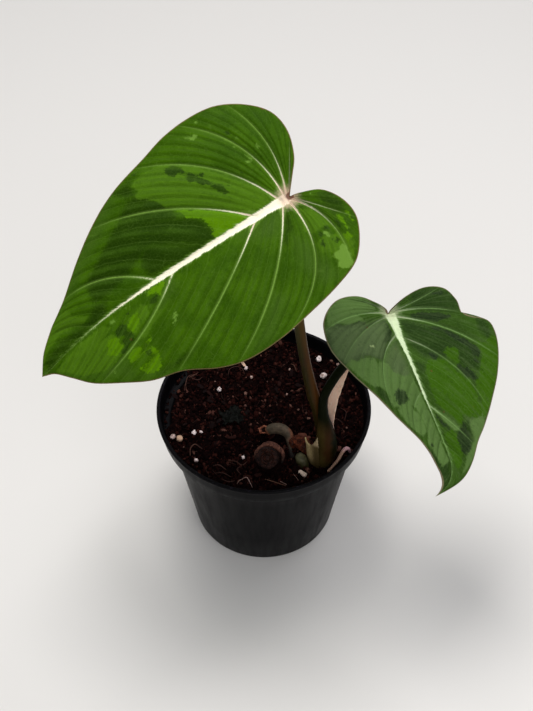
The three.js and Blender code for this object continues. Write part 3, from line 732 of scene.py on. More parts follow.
# ---------------------------------------------------------------------------------------------
# The rhizome: the plant's creeping stem. In front it ends in a cut stub with a corky face, in a
# collar left by an old leaf. Behind, an arch with a torn end dips under and carries the crown,
# and a brown knuckle of old fibres sits between.
STUB = [
    (1.9, -35, 92.1, 5.8), (1.9, -34.3, 91.2, 6.1), (2.6, -30.4, 86, 6.6), (5.6, -26.4, 80.5, 6.2),
    (11.6, -25.6, 78, 5.4), (18, -28, 77.6, 5),
]
STUB_FACE = {"middle": (1.9, -35, 91.6), "outward": (0, -0.62, 0.785), "radius": 5.9}
COLLAR = {"middle": (3.2, -33, 89), "radius": 7.5, "thickness": 1.5}
ARCH = [
    (1.9, -14.4, 89.4, 2.4), (4.6, -14.3, 91, 2.9), (8.6, -14.6, 91.8, 3), (12, -16.2, 91.6, 2.9),
    (14.2, -18.4, 90.2, 2.6), (14.5, -21.2, 88.2, 1.9), (14.9, -24, 86.2, 1.4), (16, -26.6, 83.5, 2.2),
    (22, -30, 78, 4.6), (33, -32.8, 74.5, 5.8),
]
CUP = [
    (1.1, -1.7), (1.28, -0.9), (1.3, -0.1), (1.14, 0.4), (0.94, 0.2), (0.78, -0.5), (0.5, -1.2),
    (0.06, -1.4),
]
CUP_MIDDLE = (0.2, -14.2, 90.3)
KNUCKLE = [(15.6, -21.6, 82, 2.6), (18, -22.2, 89, 3.5), (22, -24.2, 89.6, 3.6), (26, -27.4, 82, 2.8)]
KNUCKLE_FIBRES = 26


def lumpy(coarse, fine, seed):
    """Uneven girth for a stem: slow swellings and small bumps."""
    def girth(rise, angle):
        east, north = np.cos(angle), np.sin(angle)
        swellings = coarse * uneven(4 * rise, 1.3 * east, 1.3 * north + seed)
        return 1 + swellings + fine * uneven(16 * rise, 4 * east, 4 * north + seed)
    return girth


def cut_plane(outward):
    """Directions out of a cut, level across it, and up it."""
    outward = unit(np.array(outward))
    level = unit(np.cross(outward, (0, 1, 0)))
    return outward, level, np.cross(outward, level)


def corky_face(middle, outward, radius, rings=26, sides=64):
    """The cut end of the stub: rings of cork round a sunken heart."""
    outward, level, upright = cut_plane(outward)
    out = np.linspace(0, 1, rings)[:, None]
    east, north = np.cos(all_round(sides)), np.sin(all_round(sides))
    wander = uneven(2.2 * out * east, 2.2 * out * north, 3)
    ridges = 0.28 * np.cos(2 * np.pi * 3.4 * (out + 0.07 * wander)) * (1 - 0.35 * out)
    height = 0.25 + ridges - 0.9 * np.exp(-(out / 0.16) ** 2) + 0.5 * wander - 0.6 * out ** 6
    reach = radius * out * (1 + 0.05 * wander)
    points = np.array(middle) + (reach * east)[..., None] * level + (reach * north)[..., None] * upright
    ring = np.broadcast_to(out, height.shape).ravel()
    return points + height[..., None] * outward, quads(rings, sides, joined=True), {"ring": ring}


def scar_loop(middle, radius, thickness, count=24):
    """Stations of the collar: thin at both ends, thick in the middle."""
    _, level, upright = cut_plane(STUB_FACE["outward"])
    for k in range(count + 1):
        angle = math.radians(-24 + 222 * k / count)
        reach = radius * (1 + 0.03 * math.sin(5 * angle))
        spot = np.array(middle) - reach * (math.cos(angle) * level + math.sin(angle) * upright)
        yield (*spot, thickness * (0.3 + 0.7 * math.sin(math.pi * k / count) ** 0.6))


def torn_cup(rings=26, sides=56):
    """The torn end of the arch: a ragged lip round a hollow."""
    reach, lift = smooth_path([(out, up, 0) for out, up in CUP], rings)[:, :2].T[..., None]
    turn = all_round(sides)
    ragged = reach * (1 + 0.1 * np.sin(5 * turn) + 0.06 * np.sin(11 * turn + reach))
    raised = lift + 0.5 * np.sin(2 * turn + 0.6) + 0.25 * np.sin(7 * turn)
    points = (2.5 * ragged * np.cos(turn))[..., None] * (1, 0, 0)
    points = points + (1.75 * ragged * np.sin(turn))[..., None] * (0, 0.78, 0.62)
    points = points + raised[..., None] * (-0.3, -0.5, 0.8) + CUP_MIDDLE
    size = rings * sides
    faces = quads(rings, sides, joined=True) + cap(size - sides, sides, size) + cap(0, sides, size + 1, -1)
    ring = np.where((lift > -1.6) | (reach < 1), reach, 1.3).repeat(sides)
    points = np.vstack([points.reshape(-1, 3), points[-1].mean(axis=0), points[0].mean(axis=0)])
    return points, faces, {"ring": [*ring, 0.0, 1.3]}


stub = make_piece("rhizome_stub", *stem(STUB, 44, 48, lumpy(0.1, 0.05, 2), dome=-0.1))
stub_face = make_piece("stub_cut_face", *corky_face(**STUB_FACE))
collar = make_piece("leaf_scar_collar", *stem(list(scar_loop(**COLLAR)), 96, 14, lumpy(0.3, 0.18, 8)))
arch = make_piece("rhizome_arch", *stem(ARCH, 84, 40, lumpy(0.12, 0.04, 5), dome=-0.3))
torn_rim = make_piece("arch_torn_rim", *torn_cup())
knuckle = make_piece("crown_knuckle", *stem(KNUCKLE, 44, 32, lumpy(0.34, 0.2, 12)))

threads = []
core = smooth_path(KNUCKLE, 50)
for _ in range(KNUCKLE_FIBRES):
    *root, girth = core[int(random.uniform(0.15, 0.85) * 49)]
    spread = random.uniform(-1, 1, 3) * (3, 2, 0.6)
    start = root + spread * 0.5 + (0, 0, girth * 0.8)
    end = root + spread * 1.5 + (0, -1.5, girth * 0.4)
    middle = (start + end) / 2 + (0, 0, random.uniform(0.5, 1.6))
    threads.append(hair([(*start, 0.22), (*middle, 0.2), (*end, 0.1)], 9, 5, random.uniform(0.1, 0.6)))
knuckle_fibres = scatter("knuckle_fibres", threads)


def cells(place, scale, output="Distance", feature="F1"):
    """A surface broken up into cells, at a scale per metre."""
    return add_node(place.tree, "TexVoronoi", output, {"Vector": place, "Scale": scale}, feature=feature)


# Cork: rough brown bark tissue, on the stub, its face and collar, the torn rim and the knuckle.
cork = Effect("cork_skin", {"Vector": "Place", "Float": "Scale", "Color": "Dark, Light"},
              {"Color": "Color", "Float": "Height"})
place, scale, dark, light = cork.given.values()
coarse = speckle(place, scale, 5, 0.7)
cracked = step(cells(place, scale, feature="DISTANCE_TO_EDGE"), 0.0, 0.12, 0.45, 1)
cork.give(Color=coats(dark, (step(coarse, 0.36, 0.66) * cracked, light)), Height=coarse + cracked)


def corky(name, roughness, shine, scale, dark, light):
    """A finish of cork, with the colour and height of its skin."""
    finish = Finish(name, roughness, shine)
    skin = cork.use(Place=finish.place(), Scale=scale, Dark=paint(*dark), Light=paint(*light))
    return finish, *skin.values()


stub_bark, skin, height = corky("stub_bark", 0.8, 0.15, 420.0, (16, 8, 8), (58, 34, 28))
stub_bark.coat(skin, height, 0.7, 0.0006)
finish_piece(stub, stub_bark, "rhizome")

cut_cork, skin, height = corky("cut_cork", 0.85, 0.1, 640.0, (16, 7, 5), (66, 32, 21))
place = cut_cork.place()
ring = cut_cork.mark("ring")
rings = ((ring + speckle(place, 320, 3) * 0.5) * 24.0).put("SINE")
banded = coats(
    skin,
    (step(rings, -0.3, 0.9, 0, 0.3), (17, 9, 7)),
    (step(ring, 0.84, 0.99, 0, 0.85), (15, 8, 7)),
    # Darker towards the bottom of the face.
    (step(place.along("Z"), 0.0915, 0.088, 0, 0.6), (12, 5, 6)),
)
cut_cork.coat(banded, height + rings, 0.6, 0.0004)
finish_piece(stub_face, cut_cork, "rhizome")

scar_rim, skin, height = corky("scar_rim", 0.75, 0.15, 700.0, (60, 34, 27), (126, 82, 66))
# Painted shade: the collar darkens towards its two low ends.
to_foot = (scar_rim.mark("along") - 14.5).put("ABSOLUTE")
scar_rim.coat(coats(skin, (step(to_foot, 7, 14), (20, 11, 9))), height, 0.5, 0.0004)
finish_piece(collar, scar_rim, "rhizome")

arch_skin = Finish("arch_skin", 0.62, 0.2)
place = arch_skin.place()
along = arch_skin.mark("along")
depth = place.along("Z")
fine = speckle(place, 900, 4)
blotch = speckle(place, 240, 3)
bruise = step(place.along("X") + blotch * 0.006, 0.0165, 0.0185) * step(depth, 0.0875, 0.0895)
grey = coats(
    (66, 57, 44),
    (step(blotch, 0.4, 0.64), (84, 71, 56)),
    (step(fine, 0.4, 0.62, 0.35, 0), (44, 36, 28)),
    (bruise * 0.8, (110, 66, 46)),
    # Darker towards its low end, to the colour of the mix.
    (step(depth, 0.0885, 0.086), (22, 14, 11)),
    (step(along + fine * 2.4, 2.8, 1.6), (104, 62, 42)),
    (step(along, 0.3, 0.02), (44, 17, 12)),
)
arch_skin.coat(grey, fine + blotch, 0.45, 0.0005)
finish_piece(arch, arch_skin, "rhizome")

torn_tissue, skin, height = corky("torn_tissue", 0.75, 0.15, 750.0, (112, 60, 44), (166, 104, 78))
# Painted shade in the hollow of the torn end.
hollow = step(torn_tissue.mark("ring"), 0.95, 0.62)
torn_tissue.coat(coats(skin, (hollow, (30, 13, 10))), height, 0.7, 0.0005)
finish_piece(torn_rim, torn_tissue, "rhizome")

knuckle_bark, skin, height = corky("knuckle_bark", 0.8, 0.12, 520.0, (42, 16, 9), (112, 54, 31))
knuckle_bark.coat(skin, height, 0.8, 0.0008)
finish_piece(knuckle, knuckle_bark, "rhizome")
finish_piece(knuckle_fibres, strand, "rhizome")


# ---------------------------------------------------------------------------------------------
# The bud: a plump, pale green growing point that pushes out beside the stalks.
BUD = [(23.2, -36.2, 84, 2.6), (22, -34.6, 86.6, 3.2), (20.4, -33.2, 89, 3.2), (18.9, -32, 90.6, 2.1)]

bud = make_piece("crown_bud", *stem(BUD, 30, 32, lumpy(0.05, 0.01, 3), dome=0.45))
pale_bud = Finish("pale_bud", 0.5, 0.2)
place = pale_bud.place()
cloud = speckle(place, 380, 4)
young = coats(
    (58, 57, 38),
    (step(cloud, 0.38, 0.64), (80, 77, 54)),
    # Darker towards the bottom of the bud.
    (step(place.along("Z"), 0.0915, 0.0875), (40, 38, 16)),
    (step(speckle(place, 900, 3), 0.6, 0.7, 0, 0.4), (78, 50, 36)),
)
pale_bud.coat(young, cloud, 0.3, 0.0004)
finish_piece(bud, pale_bud, "bud")


# ---------------------------------------------------------------------------------------------
# The two leaf stalks, round and fleshy, with fine streaks along them. The large leaf's is
# slender and olive brown; the small one's wraps it below with a wide, flared foot.
LARGE_STALK = [
    (33.6, -24.6, 80.6, 3.1), (33.1, -24, 90, 3.1), (31.7, -22.6, 101, 3.1), (29.3, -21.6, 118, 3.1),
    (26.7, -20.8, 129.5, 3.4), (24.8, -20, 139, 3.1), (21.8, -18.8, 156, 2.8), (18.1, -16.5, 184, 2.8),
    (14.2, -9, 222, 2.7), (12.9, -4.8, 254.1, 2.7), (12.1, -9.2, 261.5, 2.6),
]
SMALL_STALK = [
    (32.4, -30.6, 80.6, 5.4), (32.7, -31.2, 88, 6.3), (34.2, -30.4, 96, 6.5), (34.4, -30, 104, 5.5),
    (33.5, -29.2, 112, 4.3), (32.3, -26.8, 121, 2.9), (32.4, -24.2, 132, 2.5), (36.6, -20.7, 141, 2.5),
    (42.5, -16.6, 149, 2.5), (52.5, -10.5, 160, 2.5), (62, -3.2, 170.7, 2.5), (63.3, -4.1, 174.8, 2.5),
]


def grooved(depth, where, seed):
    """A stalk's girth with a shallow channel down one side."""
    girth = lumpy(0.05, 0.012, seed)

    def swell(rise, angle):
        from_groove = np.angle(np.exp(1j * (angle - where)))
        return girth(rise, angle) * (1 - depth * np.exp(-((from_groove / 0.5) ** 2)))
    return swell


large_stalk = make_piece("large_leaf_stalk", *stem(LARGE_STALK, 200, 32, grooved(0.1, 2.2, 21)))
small_stalk = make_piece("small_leaf_stalk", *stem(SMALL_STALK, 200, 40, grooved(0.07, 1.2, 31)))

# Fine streaks and pale flecks that run along a stalk or a sheath.
streaks = Effect("long_streaks", {"Float": "Along, Around, Fineness, Length"}, {"Float": "Streak, Fleck"})
along, around, fineness, length = streaks.given.values()
east, north, runs = around.put("COSINE"), around.put("SINE"), along * length
where = add_node(streaks.group, "CombineXYZ", "Vector", {0: east, 1: north, 2: runs})
short = add_node(streaks.group, "CombineXYZ", "Vector", {0: east, 1: north, 2: runs * 4.0})
flecks = step(cells(short, fineness * 1.6), 0.24, 0.08)
streaks.give(Streak=speckle(where, fineness, 5, 0.65), Fleck=flecks)


def streaked(finish, fineness, length):
    """The streaks and flecks of a finish, along the marks of its piece."""
    along, around = finish.mark("along"), finish.mark("around")
    return streaks.use(Along=along, Around=around, Fineness=fineness, Length=length).values()


olive_stalk = Finish("olive_stalk", 0.5, 0.06)
place = olive_stalk.place()
height = place.along("Z")
streak, fleck = streaked(olive_stalk, 5.0, 0.07)
olive = coats(
    (32, 27, 7),
    (step(streak, 0.36, 0.64), (46, 38, 11)),
    (step(place.along("X") + height * 0.165 - 0.04795, -0.0012, 0.0022, 0, 0.85), (78, 46, 13)),
    (step(height, 0.15, 0.24, 0, 0.7), (88, 86, 42)),
    (fleck * 0.35, (86, 66, 30)),
    (step(speckle(place, 120, 3), 0.5, 0.7, 0, 0.35), (60, 30, 20)),
)
olive_stalk.coat(olive, streak, 0.3, 0.0003, Roughness=step(streak, 0.3, 0.7, 0.38, 0.52))
finish_piece(large_stalk, olive_stalk, "petiole_large")

green_stalk = Finish("green_stalk", 0.48, 0.03)
place = green_stalk.place()
height = place.along("Z")
streak, fleck = streaked(green_stalk, 7.0, 0.05)
cloud = speckle(place, 160, 3)
east = place.along("X") + cloud * 0.006
low = step(height, 0.121, 0.108)
deep = coats(
    (6, 9, 1),
    (step(streak, 0.38, 0.62), (14, 19, 3)),
    (step(east, 0.0428, 0.0385) * low * 0.85, (54, 32, 14)),
    (step(east, 0.0382, 0.034) * low * 0.85, (66, 56, 26)),
    (step(height + cloud * 0.004, 0.0945, 0.0885), (60, 50, 20)),
    (fleck * 0.3, (60, 58, 28)),
)
green_stalk.coat(deep, streak, 0.3, 0.0003, Roughness=step(streak, 0.3, 0.7, 0.34, 0.5))
finish_piece(small_stalk, green_stalk, "petiole_small")


# ---------------------------------------------------------------------------------------------
# The sheaths that once wrapped young leaves: a tall dry one behind the stalks, papery and pinkish
# white, and a short fresh one at their foot, split at the top into two points.
CATAPHYLL = {
    "rows": [
        (36.8, -23.6, 82, 2.8), (37, -23.2, 98, 3), (35.9, -22.8, 108, 3.1), (36.2, -21.6, 118, 3.5),
        (37.4, -20.4, 129, 3.7), (40.8, -18.4, 140, 2.9), (45.2, -17.4, 149.5, 0.5),
    ],
    "outward": (0.5, 0.87), "radius": 11, "notch": 0, "split": 0, "slant": 0, "thickness": 0.6,
    "ragged": 0.1,
}
SHEATH = {
    "rows": [(26.6, -34, 81, 5), (26, -34.6, 90, 5.3), (25.6, -34.7, 98, 5.2), (24.8, -33.9, 107.5, 5.2)],
    "outward": (-0.76, -0.65), "radius": 7.5, "notch": 5.5, "split": -0.35, "slant": 4.5, "thickness": 0.9,
    "ragged": 0.12,
}


def thin_sheet(rows, columns, ends=True):
    """Faces over two grids of points, one behind the other, and round their edges. Without ends,
    their first and last rows stay open."""
    front = np.array(quads(rows, columns))
    size = rows * columns
    near = np.array(border(rows, columns))
    far = np.roll(near, -1)
    sides = np.stack([far, near, near + size, far + size], axis=-1)
    if not ends:
        sides = sides[near // columns != far // columns]
    return np.vstack([front, front[:, ::-1] + size, sides]).tolist()


def curved_sheath(rows, outward, radius, notch, split, slant, thickness, ragged, steps=90, across=28):
    """A thin strip bent round its length, with torn sides and fine ribs."""
    path = smooth_path(rows, steps + 1)
    out = unit(np.array([*outward, 0.0]))
    side = np.array([out[1], -out[0], 0])
    share = np.linspace(-1, 1, across + 1)[None, :]
    rise = np.linspace(0, 1, steps + 1)[:, None]
    tear = uneven(17 * rise, (0.0, 9.0), 5)
    half = path[:, 3, None] * (1 + ragged * np.where(share < 0, tear[:, :1], tear[:, 1:]))
    angle = share * half / radius
    rib = 0.12 * np.cos(share * 9 * np.pi) * (0.4 + 0.6 * rise)
    from_split = np.where(share > split, (share - split) / (1 - split), (split - share) / (1 + split))
    dip = (notch * (1 - from_split ** 1.3) + slant * share) * rise ** 3
    points = []
    for level in (thickness / 2, -thickness / 2):
        lift = radius * (np.cos(angle) - 1) + (level * (1 - 0.5 * np.abs(share) ** 4) + rib) * np.cos(angle)
        aside = (radius + level) * np.sin(angle)
        points.append(path[:, None, :3] + lift[..., None] * out + aside[..., None] * side)
    points = np.array(points)
    points[..., 2] -= dip
    size = rise.size, share.size
    marks = {"along": rise * 60, "around": share * 1.6}
    marks = {mark: np.tile(np.broadcast_to(values, size).ravel(), 2) for mark, values in marks.items()}
    return points, thin_sheet(*size), marks


cataphyll = make_piece("dry_sheath", *curved_sheath(**CATAPHYLL))
fresh = make_piece("fresh_sheath", *curved_sheath(**SHEATH))

dry_paper = Finish("dry_sheath", 0.7, 0.2)
place = dry_paper.place()
streak, fleck = streaked(dry_paper, 9.0, 0.03)
papery = coats(
    (252, 202, 172),
    (step(streak, 0.38, 0.62), (255, 226, 202)),
    (step(speckle(place, 260, 4), 0.52, 0.7, 0, 0.6), (200, 156, 120)),
    (step(place.along("Z"), 0.118, 0.102, 0, 0.5), (204, 158, 166)),
    (fleck * 0.5, (206, 168, 160)),
)
dry_paper.coat(papery, streak, 0.5, 0.0004)
finish_piece(cataphyll, dry_paper, "cataphyll")

fresh_sheath = Finish("fresh_sheath", 0.5, 0.2)
height = fresh_sheath.place().along("Z")
streak, _ = streaked(fresh_sheath, 7.0, 0.03)
fleshy = coats(
    (150, 129, 86),
    (step(streak, 0.36, 0.64), (188, 166, 121)),
    (step(height, 0.094, 0.088, 0, 0.8), (66, 58, 28)),
    (step(fresh_sheath.mark("around"), 0.1, -1.1, 0, 0.95), (60, 48, 22)),
    (step(height, 0.1035, 0.1065, 0, 0.6), (176, 154, 120)),
)
fresh_sheath.coat(fleshy, streak, 0.4, 0.0003)
finish_piece(fresh, fresh_sheath, "sheath")


# ---------------------------------------------------------------------------------------------
# A dried strip of old sheath, kinked in the middle, that lies from the crown to the rim.
STRAW = [
    (35.6, -40.8, 86.8, 0.9), (40.5, -35.6, 89.3, 1.1), (44.6, -29.4, 91.4, 1.2), (46, -28.4, 91.8, 1.3),
    (47.2, -28.2, 91.2, 1.2), (48, -28.4, 88.4, 1.0),
]


def flattened(rise, angle):
    """The girth of the folded strip."""
    return lumpy(0.18, 0.05, 41)(rise, angle) * (1 - 0.32 * np.cos(angle) ** 2)


straw = make_piece("dry_straw", *stem(STRAW, 90, 20, flattened))
straw_paper = Finish("dry_straw", 0.65, 0.35)
streak, _ = streaked(straw_paper, 6.0, 0.08)
papery = coats(
    (136, 104, 84),
    (step(streak, 0.36, 0.64), (184, 146, 126)),
    (step(straw_paper.mark("along"), 13, 17), (198, 150, 158)),
    (step(speckle(straw_paper.place(), 500, 3), 0.54, 0.68, 0, 0.5), (104, 78, 58)),
)
straw_paper.coat(papery, streak, 0.5, 0.0003)
finish_piece(straw, straw_paper, "straw")


# ---------------------------------------------------------------------------------------------
# A scrap of old leaf on the soil: dark, bluish, crumpled and torn.
SCRAP_PLACE = (-17.6, -1.4, 88.1)
SCRAP_REACH = (7.2, 6.2)
SCRAP_THICKNESS = 0.3
SCRAP_CELLS = 34

x, y, out = round_grid(SCRAP_CELLS)
turn = np.arctan2(y, x)
torn = 1 + out * (0.14 * np.sin(5 * turn) + 0.07 * np.sin(11 * turn + 1) + 0.03 * np.sin(23 * turn))
x = SCRAP_REACH[0] * x * torn
y = SCRAP_REACH[1] * y * torn
lift = 1.3 * (uneven(x * 0.3, y * 0.3, 6, crumpled=True) * 1.6 - 0.7) + 0.9 * np.sin(0.5 * x + 0.9)
sheet = np.stack([x, y, lift], axis=-1) + SCRAP_PLACE
under = sheet - (0, 0, SCRAP_THICKNESS)
litter = make_piece("leaf_scrap", [sheet, under], thin_sheet(SCRAP_CELLS, SCRAP_CELLS))
old_leaf = Finish("old_leaf", 0.55, 0.06)
cloud = speckle(old_leaf.place(), 260, 4)
veins = cells(old_leaf.place(), 420.0, feature="DISTANCE_TO_EDGE")
withered = coats(
    (5, 6, 5),
    (step(cloud, 0.38, 0.62), (15, 16, 13)),
    (step(veins, 0.05, 0.0, 0, 0.4), (24, 25, 21)),
)
old_leaf.coat(withered, cloud + veins, 0.6, 0.0005)
finish_piece(litter, old_leaf, "leaf_litter")


